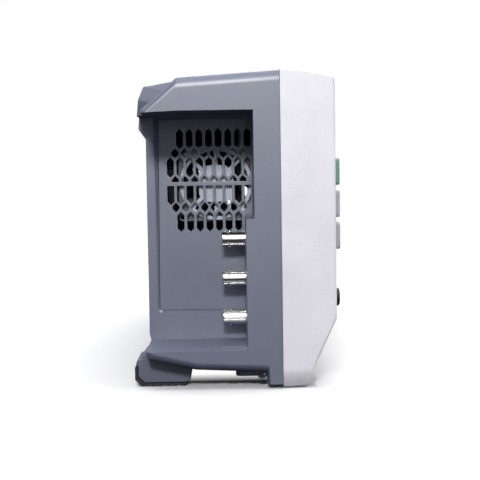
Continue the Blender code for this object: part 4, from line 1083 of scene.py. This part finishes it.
recess = rectangle(glass_x, glass_z, glass_w + 0.0006, glass_h + 0.0006, 0.0034)
cut(bezel, carried("recess", "Y", recess, HOLE_FROM, glass_high.y + 0.0003))
view = rectangle(glass_x, glass_z, glass_w - 0.010, glass_h - 0.010, 0.0020)
openings.append(carried("hole", "Y", view, HOLE_FROM, HOLE_TO))
cut(bezel, together("openings", openings))
finished(bezel, WHITE_ABS, "housing", "front_bezel")
print("bezel:", len(openings), "openings,", len(bezel.data.polygons), "faces")

# %% [markdown]
# ## Feet
# A foot block wraps under each lower back corner, and an L of rubber covers its back and underside.
# Shallow grooves across the rubber let it grip. Two flat rubber pads sit under the bezel's lip.

# %% Feet and pads
FOOT_LINE = (
    (0.1184, 0.0222), (0.1213, 0.0188), (0.1213, 0.0176), (0.1244, 0.0165), (0.1254, 0.0140),
    (0.1240, 0.0125), (0.1240, 0.0060), (0.1200, 0.0020), (0.0935, 0.0020), (0.0910, 0.0040),
    (0.0900, 0.0116), (0.1172, 0.0174),
)
PAD_LINE = (
    (0.1260, 0.0122), (0.1260, 0.0040), (0.1220, 0.0000), (0.0940, 0.0000), (0.0930, 0.0017),
    (0.1202, 0.0017), (0.1243, 0.0059), (0.1243, 0.0122),
)
GROOVES = 5
GROOVE_FIRST = 0.0985
GROOVE_PITCH = 0.0045
GROOVE_LINE = ((-0.0006, -0.0010), (-0.0003, 0.0005), (0.0003, 0.0005), (0.0006, -0.0010))
foot_edge = rounded(placed(FOOT_LINE), 0.0008, 2)
pad_edge = rounded(placed(PAD_LINE), 0.0006, 2)
for word in ("left", "right"):
    low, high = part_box(f"rear_foot_{word}")
    foot = carried(f"foot_block_{word}", "X", foot_edge, low.x, high.x, 0.0009, 3)
    finished(foot, FOOT_ABS, "housing", f"rear_foot_{word}")
    pad = carried(f"foot_pad_{word}", "X", pad_edge, low.x, high.x, 0.0004, 2)
    groove_cutters = []
    for number in range(GROOVES):
        depth = GROOVE_FIRST + number * GROOVE_PITCH
        line = placed((depth + out, height) for out, height in GROOVE_LINE)
        groove_cutters.append(carried("groove", "X", line, low.x - 0.001, high.x + 0.001))
    cut(pad, together("grooves", groove_cutters))
    finished(pad, RUBBER, "housing", f"rear_pad_{word}")
    low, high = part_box(f"front_pad_{word}")
    edge = rectangle((low.x + high.x) / 2, (low.y + high.y) / 2, high.x - low.x, high.y - low.y, 0.0035)
    front_pad = carried(f"lip_pad_{word}", "Z", edge, low.z, high.z, 0.0005, 3, ends=(1, 0))
    finished(front_pad, RUBBER, "housing", f"front_pad_{word}")
print("feet made")

# %% [markdown]
# Each tilt leg is a flat plate on a pin, folded up under the cover. Two ears of the cover hold the
# pin's ends. Ribs near the tip are there for the finger that unfolds it.

# %% Tilt legs
PIVOT = (0.0462, 0.0068)
LEG_HALF = 0.0210
LEG_TIP = 0.0625
LEG_THICK = 0.0030
PIN = 0.0015
EAR_GAP = 0.0008
EAR_WIDE = 0.0042
EAR_RADIUS = 0.0028
EAR_TOP = 0.0102
RIBS = 3
ears = []
for word in ("left", "right"):
    low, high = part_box(f"tilt_leg_{word}")
    x = (low.x + high.x) / 2
    pivot = at(x, *PIVOT)
    tip_y = FRONT + LEG_TIP
    near, far = x - LEG_HALF, x + LEG_HALF
    corners = [(near, pivot.y), (far, pivot.y), (far, tip_y), (near, tip_y)]
    edge = rounded(corners, [0.0008, 0.0008, 0.0035, 0.0035], 4)
    base, top = pivot.z - LEG_THICK / 2, pivot.z + LEG_THICK / 2
    window = rectangle(x, (pivot.y + tip_y) / 2 - 0.0005, LEG_HALF * 1.25, 0.0050, 0.0020, 4)
    leg_parts = [plate("leg_plate", edge, [window], base, top, 0.0005, "Z")]
    for number in range(RIBS):
        rib = rectangle(tip_y - 0.0012 - number * 0.0011, base + 0.0001, 0.0005, 0.0008, 0.00018, 2)
        leg_parts.append(carried("rib", "X", rib, x - LEG_HALF * 0.8, x + LEG_HALF * 0.8, 0.0001, 2))
    half_pin = (high.x - low.x) / 2
    pin_profile = ((0, -half_pin), (PIN - 0.0002, -half_pin), (PIN, 0.0002 - half_pin),
                   (PIN, half_pin - 0.0002), (PIN - 0.0002, half_pin), (0, half_pin))
    leg_parts.append(turned("pin", pin_profile, pivot, (1, 0, 0), 24))
    leg = together(f"leg_{word}", leg_parts)
    finished(leg, FOOT_ABS, f"tilt_leg_{word}", f"tilt_leg_{word}")
    for end in (-1, 1):
        inner = x + end * (LEG_HALF + EAR_GAP)
        start, stop = sorted((inner, inner + end * EAR_WIDE))
        line = [(pivot.y - EAR_RADIUS, EAR_TOP)]
        for step in range(9):
            turn = math.pi * step / 8
            line.append((pivot.y - EAR_RADIUS * math.cos(turn), pivot.z - EAR_RADIUS * math.sin(turn)))
        line.append((pivot.y + EAR_RADIUS, EAR_TOP))
        ear = carried("ear", "X", line, start, stop, 0.0003, 2)
        eye = circle(pivot.y, pivot.z, PIN + 0.0003, 24)
        cut(ear, carried("eye", "X", eye, start - 0.001, stop + 0.001))
        ears.append(ear)
finished(together("leg_ears", ears), SLATE_ABS, "housing", ())
print("tilt legs made")

# %% [markdown]
# ## Coaxial jacks
# A bayonet jack is turned from brass and nickelled: a barrel with a chamfered mouth, a narrow groove
# behind the two lugs, and a long plain part. A white sleeve inside holds a gold contact. The same
# function serves the three jacks in the bay and the two at the front.

# %% Jacks
BARREL = 0.00483
MOUTH = 0.0040
LUG_REACH = 0.0055
LUG_BACK = 0.0050
WHITE_SLEEVE = moulded("white_sleeve", (0.78, 0.77, 0.72), 0.45, 1800.0, 0.00001)


def coaxial_jack(stem, facing, wall, proud, back):
    """The shell, sleeve and contact of a jack that stands proud of wall."""
    low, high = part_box(stem + "_jack")
    centre = Vector(((low.x + high.x) / 2, wall, (low.z + high.z) / 2))
    along = Vector((0, facing, 0))
    floor = proud - 0.0080
    profile = (
        (0, floor), (MOUTH, floor), (MOUTH, proud - 0.0004), (MOUTH + 0.0003, proud),
        (BARREL - 0.0004, proud), (BARREL - 0.0001, proud - 0.0002), (BARREL, proud - 0.0006),
        (BARREL, proud - 0.0033), (BARREL - 0.0002, proud - 0.0035), (BARREL - 0.0006, proud - 0.0036),
        (BARREL - 0.0006, proud - 0.0042), (BARREL - 0.0002, proud - 0.0043), (BARREL, proud - 0.0045),
        (BARREL, proud - 0.0092), (BARREL - 0.0002, proud - 0.0094), (BARREL - 0.0002, proud - 0.0100),
        (BARREL, proud - 0.0102), (BARREL, -back), (0, -back),
    )
    parts = [turned("barrel", profile, centre, along, 72)]
    for way in (-1, 1):
        lug = ((0, MOUTH + 0.0004), (0.0010, MOUTH + 0.0004), (0.0010, LUG_REACH - 0.0002),
               (0.0008, LUG_REACH), (0, LUG_REACH))
        parts.append(turned("lug", lug, centre + along * (proud - LUG_BACK), (0, 0, way), 20))
    shell = together(stem + "_shell", parts)
    finished(shell, NICKEL, "housing", stem + "_jack", 30.0)
    top = proud - 0.0015
    sleeve_profile = (
        (0, top - 0.0035), (0.0008, top - 0.0035), (0.0008, top), (0.0021, top), (0.0024, top - 0.0003),
        (0.0024, floor + 0.0018), (MOUTH - 0.0003, floor + 0.0018), (MOUTH - 0.0003, floor + 0.0003),
        (0, floor + 0.0003),
    )
    sleeve = turned(stem + "_sleeve", sleeve_profile, centre, along, 40)
    finished(sleeve, WHITE_SLEEVE, "housing", stem + "_insulator")
    contact_profile = (
        (0, top - 0.0033), (0.00045, top - 0.0033), (0.00045, top - 0.0002), (0.00075, top - 0.0002),
        (0.00075, top - 0.00345), (0, top - 0.00345),
    )
    contact = turned(stem + "_contact", contact_profile, centre, along, 20)
    finished(contact, GOLD, "housing", ())


for word in ("top", "middle", "bottom"):
    coaxial_jack(word + "_bay", 1, FRONT + BAY_LOWER, 0.0150, 0.0080)
for number in (1, 2):
    coaxial_jack(f"output_{number}", -1, FRONT, 0.0135, 0.0100)
print("jacks made")

# %% [markdown]
# ## Keys
# A key is a cap with softly rounded edges, a flange that stops it behind the bezel, and a stem towards
# its switch. The legends are digits and plain signs. They are thin raised letters from Blender's own
# font, turned into a mesh, and ride with their key.

# %% Key caps and legends
STEM = 0.0040
LAP = 0.0004
LEGEND_THICK = 0.00004


def key_cap(name, finish, corner, rim):
    low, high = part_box(name)
    x, z, width, height, face = cap_of(name)
    flange_at = FRONT + WALL + 0.0003
    cap = rectangle(x, z, width, height, corner)
    flange = rectangle(x, z, high.x - low.x, high.z - low.z, corner)
    stem = rectangle(x, z, STEM, STEM, 0.0004)
    parts = [
        carried("cap", "Y", cap, face, flange_at + LAP, rim, 4, ends=(1, 0)),
        carried("flange", "Y", flange, flange_at, flange_at + FLANGE),
        carried("stem", "Y", stem, flange_at + LAP / 2, high.y),
    ]
    finished(together(name + "_cap", parts), finish, name, name)


def raised(name, curve, key, ink):
    """Turns a flat curve into thin raised marks on a key's face."""
    shape = filled(name, curve)
    x, z, _, _, face = cap_of(key)
    for corner in shape.verts:
        corner.co = Vector((x + corner.co.x, face - 0.00001 - corner.co.z, z + corner.co.y))
    finished(solid(name, shape), ink, key)


def written(name, words, size, key, ink):
    curve = bpy.data.curves.new(name, "FONT")
    curve.body = words
    curve.size = size
    curve.align_x = "CENTER"
    curve.align_y = "CENTER"
    curve.extrude = LEGEND_THICK
    raised(name, curve, key, ink)


def drawn_sign(name, points, key, ink):
    raised(name, flat_curve(name, [points], LEGEND_THICK), key, ink)


DARK_INK = moulded("dark_ink", (0.020, 0.022, 0.030), 0.5, 3000.0, 0.000004)
WHITE_INK = moulded("white_ink", (0.80, 0.81, 0.80), 0.5, 3000.0, 0.000004)
key_cap("run_key", KEY_GREEN, 0.0016, 0.0010)
key_cap("mode_key", KEY_GREY, 0.0016, 0.0010)
key_cap("store_key", KEY_GREY, 0.0016, 0.0010)
for name in small_keys:
    key_cap(name, KEY_GREY, 0.0012, 0.0007)
for digit in range(10):
    written(f"legend_{digit}", str(digit), 0.0068, f"key_{digit}", DARK_INK)
written("legend_point", ".", 0.0068, "key_point", DARK_INK)
written("legend_sign", "+/-", 0.0056, "key_sign", DARK_INK)
written("legend_output_1", "1", 0.0068, "output_1_key", DARK_INK)
written("legend_output_2", "2", 0.0068, "output_2_key", DARK_INK)
TRIANGLE = ((-0.0018, -0.0022), (0.0020, 0.0), (-0.0018, 0.0022))
drawn_sign("legend_right", TRIANGLE, "arrow_right_key", DARK_INK)
drawn_sign("legend_left", [(-x, y) for x, y in TRIANGLE][::-1], "arrow_left_key", DARK_INK)
drawn_sign("legend_run", TRIANGLE, "run_key", WHITE_INK)
BAR = ((-0.0022, -0.0005), (0.0022, -0.0005), (0.0022, 0.0005), (-0.0022, 0.0005))
drawn_sign("legend_mode", BAR, "mode_key", DARK_INK)
drawn_sign("legend_store", [(x * 0.5, y * 2.2) for x, y in BAR], "store_key", DARK_INK)
print("keys made")

# %% [markdown]
# The power button is a glossy black dome. The knob has 40 flutes for the fingers and a dimple near its
# edge for turning it with one fingertip. Its rings are stacked like any other solid, with a cosine
# taking a little off the radius in each flute.

# %% Power button and knob
low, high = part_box("power_button")
power_x, power_z = (low.x + high.x) / 2, (low.z + high.z) / 2
radius = (high.x - low.x) / 2 - FLANGE
proud = FRONT - low.y
inner = -WALL - 0.0003
power_profile = [(0, proud)]
DOME = 0.0016
for step in range(1, 7):
    turn = math.pi / 2 * step / 6
    inward, fall = DOME * (1 - math.sin(turn)), DOME * (1 - math.cos(turn))
    power_profile.append((radius - inward, proud - 0.0002 - fall))
power_profile += [(radius, inner), (radius + FLANGE, inner), (radius + FLANGE, inner - FLANGE),
                  (0.0020, inner - FLANGE), (0.0020, FRONT - high.y), (0, FRONT - high.y)]
power = turned("power_cap", power_profile, (power_x, FRONT, power_z), (0, -1, 0), 48)
finished(power, GLOSS_BLACK, "power_button", "power_button")

FLUTES = 40
FLUTE_STEPS = 6
knob_radius = (knob_high.x - knob_low.x) / 2
knob_loops = []
for behind, radius, flute in ((0.0, 0.0120, 0.0), (0.0003, 0.0130, 0.0), (0.0010, 0.0137, 0.0001),
                              (0.0022, 0.0141, 0.0004), (0.0110, knob_radius - 0.0002, 0.0004),
                              (0.0122, knob_radius, 0.0), (knob_high.y - knob_low.y, knob_radius, 0.0)):
    loop = []
    for step in range(FLUTES * FLUTE_STEPS):
        turn = math.tau * step / (FLUTES * FLUTE_STEPS)
        at_radius = radius - flute * (0.5 - 0.5 * math.cos(turn * FLUTES))
        loop.append(Vector((knob_x + at_radius * math.cos(turn), knob_low.y + behind,
                            knob_z + at_radius * math.sin(turn))))
    knob_loops.append(loop)
knob = stack("knob_body", knob_loops)
DIMPLE = 0.0060
dimple = []
for step in range(9):
    turn = math.pi * step / 8
    dimple.append((DIMPLE * math.sin(turn), -DIMPLE * math.cos(turn)))
dimple_at = (knob_x, knob_low.y - 0.0048, knob_z + 0.0078)
shaft = circle(knob_x, knob_z, 0.0034, 32)
cut(knob, turned("dimple", dimple, dimple_at, (0, 1, 0), 32),
    carried("shaft_bore", "Y", shaft, knob_low.y + 0.0030, knob_high.y + 0.0010))
finished(knob, KEY_GREY, "control_knob", "control_knob")
print("power button and knob made")

# %% [markdown]
# ## The screen
# The glass is one plate with a black printed border. What it shows is part of its material: a grid, a
# sine trace and a few bars, all worked out from the place on the plate and fed to the emission colour.

# %% Screen
WAVE_LENGTH = 0.0420
WAVE_HEIGHT = 0.0200
TRACE_HALF = 0.0008
GRID_LINE = 0.0003


def screen_finish():
    finish = Finish("screen_glass", specular_ior_level=0.5, coat_weight=0.6, coat_roughness=0.04)
    x = finish.axis("X") - glass_x
    z = finish.axis("Z") - glass_z
    half_w, half_h = glass_w / 2 - 0.0070, glass_h / 2 - 0.0065
    inside = (abs(x) < half_w) * (abs(z) < half_h)
    plot_top, plot_low = half_h - 0.0100, 0.0120 - half_h
    in_plot = (z < plot_top) * (z > plot_low)

    def lines(value, pitch, width):
        """1 on the lines of a ruled grid."""
        share = value.math("FRACT", (value + 1.0) * (1 / pitch))
        return share < width / pitch

    upright, level = lines(x, 0.0145, GRID_LINE), lines(z, 0.0100, GRID_LINE)
    grid = upright.math("MAXIMUM", upright, level)
    turns = x * (math.tau / WAVE_LENGTH)
    wave = turns.math("SINE", turns) * WAVE_HEIGHT
    trace = abs(wave - z) < TRACE_HALF
    bars = (z > plot_top + 0.0012) * (x < -0.0200)
    keys = (z < plot_low - 0.0015) * (1 - lines(x, 0.0290, 0.0020))
    flicker = finish.between(finish.noise(900.0), 0.9, 1.1)
    back = finish.mix(inside, (0.0, 0.0, 0.0), (0.004, 0.010, 0.022))
    ruled = finish.mix(in_plot * inside * grid, back, (0.03, 0.05, 0.07))
    drawn = finish.mix(in_plot * inside * trace, ruled, (0.75, 0.62, 0.05))
    topped = finish.mix(inside * bars, drawn, (0.03, 0.16, 0.28))
    shown = finish.mix(inside * keys, topped, (0.06, 0.09, 0.13))
    finish.set("Base Color", finish.mix(flicker * 0.5, (0.004, 0.004, 0.006), (0.008, 0.008, 0.011)))
    finish.set("Roughness", finish.between(finish.noise(60.0, 3.0), 0.06, 0.11))
    finish.set("Emission Color", shown)
    finish.set("Emission Strength", 1.2)
    return finish.material


glass_edge = rectangle(glass_x, glass_z, glass_w, glass_h, 0.0031)
glass = carried("screen_plate", "Y", glass_edge, glass_low.y, glass_high.y, 0.0003, 3, ends=(1, 0))
finished(glass, screen_finish(), "housing", "display_window")
print("screen made")

# %% [markdown]
# ## The back
# The mains inlet and its rocker share one black moulding. Its socket has two cut corners and three
# flat blades. The moulding is a flange joined to a body, and both mouths are cut into it last.

# %% Mains inlet
inlet_face = inlet_high.y
SOCKET_Z = inlet_z - 0.0150
ROCKER_Z = inlet_z + 0.0165
socket_mouth = rounded(house(inlet_x, SOCKET_Z, 0.0240, 0.0165, 0.0045), 0.0008, 2)
rocker_mouth = rectangle(inlet_x, ROCKER_Z, 0.0122, 0.0204, 0.0006, 2)
inlet_w, inlet_h = inlet_high.x - inlet_low.x, inlet_high.z - inlet_low.z
flange_edge = rectangle(inlet_x, inlet_z, inlet_w, inlet_h, 0.0030)
body_edge = rectangle(inlet_x, inlet_z, inlet_w - 0.0040, inlet_h - 0.0040, 0.0010)
inlet = carried("inlet_moulding", "Y", flange_edge, inlet_face - 0.0020, inlet_face, 0.0005, 3, ends=(0, 1))
join(inlet, carried("inlet_body", "Y", body_edge, inlet_low.y, inlet_face - 0.0015))
cut(inlet, carried("socket", "Y", socket_mouth, inlet_face - 0.0180, inlet_face + 0.0100),
    carried("rocker_well", "Y", rocker_mouth, inlet_face - 0.0132, inlet_face + 0.0100))
finished(inlet, BLACK_ABS, "housing", "mains_inlet")
blades = []
blade_ends = (inlet_face - 0.0182, inlet_face - 0.0050)
for across, up in ((-0.0070, -0.0015), (0.0, 0.0025), (0.0070, -0.0015)):
    edge = rectangle(inlet_x + across, SOCKET_Z + up, 0.0020, 0.0040, 0.0003, 2)
    blades.append(carried("blade", "Y", edge, *blade_ends, 0.0005, 3, ends=(0, 1)))
finished(together("inlet_blades", blades), NICKEL, "housing", ())
print("inlet made")

# %% [markdown]
# The rocker's face is hollow: lowest at its middle and rising as a parabola towards both ends. It leans
# 8 degrees about its hinge, so every point of it goes through one function, marks included. The marks
# are thin solids that follow the hollow face and are let a little into it.

# %% Rocker
HINGE = Vector((inlet_x, FRONT + COVER_BACK, ROCKER_Z))
ROCKER_LEAN = math.radians(8)
ROCKER_HALF = 0.0088
ROCKER_OUT = 0.0029
ROCKER_STEPS = 6
rise = ROCKER_HALF * math.tan(ROCKER_LEAN)
lean = Matrix.Rotation(-ROCKER_LEAN, 4, "X")


def hollow_face(up):
    """How far the rocker's face stands out at a height above its hinge."""
    return ROCKER_OUT + rise * (up / ROCKER_HALF) ** 2


def leaned(across, out, up):
    return HINGE + lean @ Vector((across, out, up))


rocker_line = [(-0.0040, -ROCKER_HALF * 0.9)]
for step in range(-ROCKER_STEPS, ROCKER_STEPS + 1):
    height = ROCKER_HALF * step / ROCKER_STEPS
    rocker_line.append((hollow_face(height), height))
rocker_line.append((-0.0020, ROCKER_HALF * 0.9))
rocker_points = [leaned(0, out, height) for out, height in rocker_line]
rocker_edge = [Vector((point.y, point.z)) for point in rocker_points]
rocker = carried("rocker", "X", rocker_edge, inlet_x - 0.0055, inlet_x + 0.0055, 0.0004, 3)
finished(rocker, GLOSS_BLACK, "mains_switch", "mains_switch")


def on_rocker(outline, lift):
    return [leaned(p.x, hollow_face(p.y) + lift, p.y) for p in outline]


UNDER, OVER = -0.0002, 0.00008
bar_mark = rectangle(0, 0.0050, 0.0006, 0.0034)
ring_outer, ring_inner = circle(0, -0.0050, 0.0016, 24), circle(0, -0.0050, 0.0016 * 0.68, 24)
ring_sides = ((ring_outer, UNDER), (ring_outer, OVER), (ring_inner, OVER), (ring_inner, UNDER))
marks = [
    stack("mark_bar", [on_rocker(bar_mark, UNDER), on_rocker(bar_mark, OVER)]),
    stack("mark_ring", [on_rocker(line, lift) for line, lift in ring_sides], endless=True),
]
finished(together("rocker_marks", marks), WHITE_INK, "mains_switch")
print("rocker made")

# %% [markdown]
# The three data ports are folded steel cans with a plastic tongue or comb and gold contacts inside.
# Each is its can with a slightly smaller mouth cut into it, and the tongue is added behind the mouth.

# %% Ports
CAN_BACK = 0.001


def can(name, outline, mouth, mouth_y, back_y):
    """A sheet steel box that is open at mouth_y and has a thin wall at back_y."""
    way = 1 if mouth_y > back_y else -1
    ends = (0, 1) if way > 0 else (1, 0)
    shell = carried(name + "_can", "Y", outline, *sorted((mouth_y, back_y)), 0.0003, 2, ends=ends)
    hollow_ends = sorted((mouth_y + way * 0.01, back_y + way * CAN_BACK))
    cut(shell, carried("mouth", "Y", mouth, *hollow_ends))
    finished(shell, ZINC, "housing", name)


def inside_can(name, boxes, finish):
    """Small blocks (x, z, width, height, low y, high y) as one piece."""
    blocks = []
    for x, z, width, height, start, stop in boxes:
        blocks.append(carried("block", "Y", rectangle(x, z, width, height), start, stop, 0.0001, 2))
    finished(together(name, blocks), finish, "housing", ())


lan_low, lan_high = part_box("lan_socket")
lan_x, lan_z = (lan_low.x + lan_high.x) / 2, (lan_low.z + lan_high.z) / 2
lan_left = [(-0.0059, 0.0034), (-0.0059, -0.0038), (-0.0030, -0.0038), (-0.0030, -0.0056)]
lan_mouth = [*lan_left, *((-x, z) for x, z in lan_left[::-1])]
lan_edge = rectangle(lan_x, lan_z, lan_high.x - lan_low.x, lan_high.z - lan_low.z, 0.0006)
can("lan_socket", lan_edge, [(lan_x + x, lan_z + z) for x, z in lan_mouth], lan_high.y, lan_low.y)
combs = [(lan_x, lan_z + 0.0027, 0.0112, 0.0013, lan_low.y + 0.0012, lan_high.y - 0.0030)]
inside_can("lan_comb", combs, BLACK_ABS)
SPRING_PITCH = 0.00102
spring_ends = (lan_low.y + 0.0014, lan_high.y - 0.0038)
springs = [
    (lan_x + (k - 3.5) * SPRING_PITCH, lan_z + 0.0018, 0.0004, 0.0006, *spring_ends) for k in range(8)
]
inside_can("lan_contacts", springs, GOLD)

port_low, port_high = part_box("usb_device_port")
port_x, port_z = (port_low.x + port_high.x) / 2, (port_low.z + port_high.z) / 2
port_edge = house(port_x, port_z, 0.0120, 0.0110, 0.0014)
port_mouth = house(port_x, port_z, 0.0104, 0.0094, 0.0018)
can("usb_device_port", port_edge, port_mouth, port_high.y, port_low.y)
tongue_ends = (port_low.y + 0.0010, port_high.y - 0.0015)
inside_can("device_tongue", [(port_x, port_z, 0.0056, 0.0032, *tongue_ends)], WHITE_SLEEVE)
strip_ends = (port_low.y + 0.0015, port_high.y - 0.0022)
strips = [
    (port_x + side * 0.00125, port_z + up * 0.0016, 0.0009, 0.0003, *strip_ends)
    for side in (-1, 1) for up in (-1, 1)
]
inside_can("device_contacts", strips, GOLD)

host_edge = rectangle(usb_x, usb_z, usb_w, usb_h, 0.0006)
host_mouth = rectangle(usb_x, usb_z, usb_w - 0.0012, usb_h - 0.0012, 0.0004)
can("usb_host_port", host_edge, host_mouth, usb_low.y, usb_high.y)
tongue_ends = (usb_low.y + 0.0014, usb_high.y - 0.0010)
host_tongue = (usb_x, usb_z + 0.0013, 0.0112, 0.0018, *tongue_ends)
inside_can("host_tongue", [host_tongue], BLACK_ABS)
strip_ends = (usb_low.y + 0.0020, usb_high.y - 0.0014)
strips = [
    (usb_x + step * 0.0024, usb_z + 0.0004, 0.0010, 0.0003, *strip_ends) for step in (-1.5, -0.5, 0.5, 1.5)
]
inside_can("host_contacts", strips, GOLD)
print("ports made")

# %% [markdown]
# The cover's four screws are countersunk into small wells. Each has a domed head with a cross recess
# and a shank in the cover.

# %% Screws
HEAD = 0.0029
SHANK = 0.0018
CROSS = ((0.0008, 0.0034), (0.0034, 0.0008))
for number in range(1, 5):
    name = f"cover_screw_{number}"
    low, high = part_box(name)
    x, z = (low.x + high.x) / 2, (low.z + high.z) / 2
    tip = low.y - high.y
    screw_profile = (
        (0, tip), (0.0013, tip), (SHANK, tip + 0.0008), (SHANK, -0.0019), (HEAD, -0.0019), (HEAD, -0.0008),
        (HEAD * 0.9, -0.0004), (HEAD * 0.7, -0.0002), (HEAD * 0.4, 0), (0, 0),
    )
    screw = turned(f"screw_{number}", screw_profile, (x, high.y, z), (0, 1, 0), 32)
    for width, height in CROSS:
        arm = rectangle(x, z, width, height)
        cut(screw, carried("recess", "Y", arm, high.y - 0.0011, high.y + 0.001))
    finished(screw, ZINC, "housing", name)
print("screws made")

# %% [markdown]
# ## Boards inside
# The boards, the screen's module and the encoder stay as the frame has them, because little of them
# shows. Their materials still follow the real thing: green solder mask with copper tracks, and black
# or grey parts above the board's face. The depth behind the front tells one from the other.

# %% Board finish
def board_finish(name, face_y, part_colour):
    finish = Finish(name, specular_ior_level=0.5)
    lattice = {"Vector": finish.stretch((1.0, 0.0, 1.0)), "Scale": 1.0, "Brick Width": 0.011}
    lattice.update({"Row Height": 0.004, "Mortar Size": 0.0003, "Mortar Smooth": 0.1})
    tracks = finish.node("ShaderNodeTexBrick", {"offset": 0.5}, lattice, output=1)
    patches = finish.between(finish.noise(300.0, 2.0), 0.0, 1.0) > 0.45
    mask = finish.mix(tracks * patches, (0.010, 0.075, 0.030), (0.030, 0.170, 0.070))
    above = finish.axis("Y") > face_y
    finish.set("Base Color", finish.mix(above, mask, part_colour))
    finish.set("Roughness", finish.between(finish.noise(500.0), 0.30, 0.50))
    finish.set("Normal", finish.bump(tracks, 0.00004))
    return finish.material


def dress(name, material):
    """Gives a solid of the frame a material, and leaves its shape alone."""
    mesh = frame["nodes"][name].data
    mesh.materials.clear()
    mesh.materials.append(material)


BOARD_THICK = 0.0016
PART_BLACK = (0.015, 0.015, 0.017)
for name in ("key_board", "main_board", "power_supply"):
    board_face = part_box(name)[0].y + BOARD_THICK + 0.0001
    dress(name, board_finish(name + "_finish", board_face, PART_BLACK))
for name in ("display_module", "knob_encoder"):
    dress(name, ZINC)
print("board finishes made")

# %% [markdown]
# ## Studio
# The floor is pale and fades into the white background a metre away. Under the middle of the instrument it
# has a
# painted glow: an emission in its colour with no lamp behind it, which keeps the gap under the cover bright
# and the shadow to the edges. Bounced light comes from the world alone: it is soft, strongest from above
# and weak from below, so the sides get darker towards the table.

# %% Floor
floor = carried("floor", "Z", rectangle(0, 0, 3.0, 3.0), -0.02, -0.0002)
pale = Finish("pale_floor", roughness=0.9, specular_ior_level=0.0)
pale.set("Base Color", pale.mix(pale.noise(3.0), (0.79, 0.79, 0.80), (0.82, 0.82, 0.82)))
# Painted glow: the floor's emission is full under the instrument's middle and fades out towards its sides,
# standing in for light under the cover.
painted_glow_x = pale.ramp(abs(pale.axis("X")), 0.126, 0.152, 1.0, 0.0)
painted_glow_y = pale.ramp(abs(pale.axis("Y") - 0.006), 0.038, 0.050, 1.0, 0.0)
pale.set("Emission Color", pale.mix(painted_glow_x * painted_glow_y, (0.0, 0.0, 0.0), (1.0, 1.0, 1.0)))
pale.set("Emission Strength", 1.0)
away = pale.node("ShaderNodeVectorMath", {"operation": "LENGTH"}, {0: pale.place}, output=1)
pale.set("Alpha", pale.ramp(away, 0.55, 1.00, 1.0, 0.0))
floor.data.materials.append(pale.material)
floor.visible_diffuse = False
floor.visible_glossy = False
floor.visible_shadow = False
print("floor made")

# %% World
world = bpy.data.worlds.new("studio")
bpy.context.scene.world = world
world.use_nodes = True
links = world.node_tree.links
nodes = world.node_tree.nodes
sky = nodes["Background"]
sky.inputs["Color"].default_value = (0.96, 0.97, 1.0, 1.0)
where = nodes.new("ShaderNodeTexCoord")
split = nodes.new("ShaderNodeSeparateXYZ")
fade = nodes.new("ShaderNodeMapRange")
for socket, value in (("From Min", -0.35), ("From Max", 0.60), ("To Min", 0.05), ("To Max", 0.62)):
    fade.inputs[socket].default_value = value
links.new(where.outputs["Generated"], split.inputs[0])
links.new(split.outputs["Z"], fade.inputs["Value"])
links.new(fade.outputs[0], sky.inputs["Strength"])
white = nodes.new("ShaderNodeBackground")
white.inputs["Color"].default_value = (1.0, 1.0, 1.0, 1.0)
seen = nodes.new("ShaderNodeLightPath")
either = nodes.new("ShaderNodeMixShader")
links.new(seen.outputs["Is Camera Ray"], either.inputs[0])
links.new(sky.outputs[0], either.inputs[1])
links.new(white.outputs[0], either.inputs[2])
links.new(either.outputs[0], nodes["World Output"].inputs["Surface"])
bpy.context.scene.view_settings.view_transform = "Standard"
print("world made")

# %% [markdown]
# The key light stands on the left, 33 degrees up, and is small enough to give the bay's roof an edged
# shadow. A second box just above it, and a weak one near the camera's side, only add gloss: a light's
# ray visibility can leave its diffuse part out. Four large boxes above and around fill in the rest.

# %% Lights
MIDDLE = Vector((0.0, 0.0, 0.10))


def softbox(name, target, azimuth, elevation, distance, width, height, power):
    """An area light that faces its target. Azimuth 0 is the left side, and it grows towards the back."""
    light = bpy.data.lights.new(name, "AREA")
    light.shape = "RECTANGLE"
    light.size = width
    light.size_y = height
    light.energy = power
    made = bpy.data.objects.new(name, light)
    turn, rise = math.radians(azimuth), math.radians(elevation)
    way = Vector((-math.cos(turn) * math.cos(rise), math.sin(turn) * math.cos(rise), math.sin(rise)))
    made.location = Vector(target) + way * distance
    made.rotation_euler = way.to_track_quat("Z", "Y").to_euler()
    bpy.context.scene.collection.objects.link(made)
    return made


left_side = Vector((-SIDE, 0.0, 0.10))
softbox("key_light", left_side, 4, 32.6, 1.8, 0.35, 0.24, 19.0)
gloss_box = softbox("gloss_box", left_side, 3, 33.0, 1.8, 0.50, 0.30, 72.0)
gloss_box.visible_diffuse = False
fill_box = softbox("fill_box", left_side, -4, 6, 2.0, 0.6, 0.6, 4.0)
fill_box.visible_diffuse = False
softbox("top_box", MIDDLE, 0, 88, 2.4, 1.6, 1.6, 26.0)
softbox("front_box", MIDDLE, -80, 35, 2.2, 1.2, 1.2, 18.0)
softbox("back_box", MIDDLE, 120, 40, 2.4, 1.4, 1.4, 7.0)
softbox("right_box", MIDDLE, 185, 40, 2.4, 1.2, 1.2, 18.0)
print("lights placed")
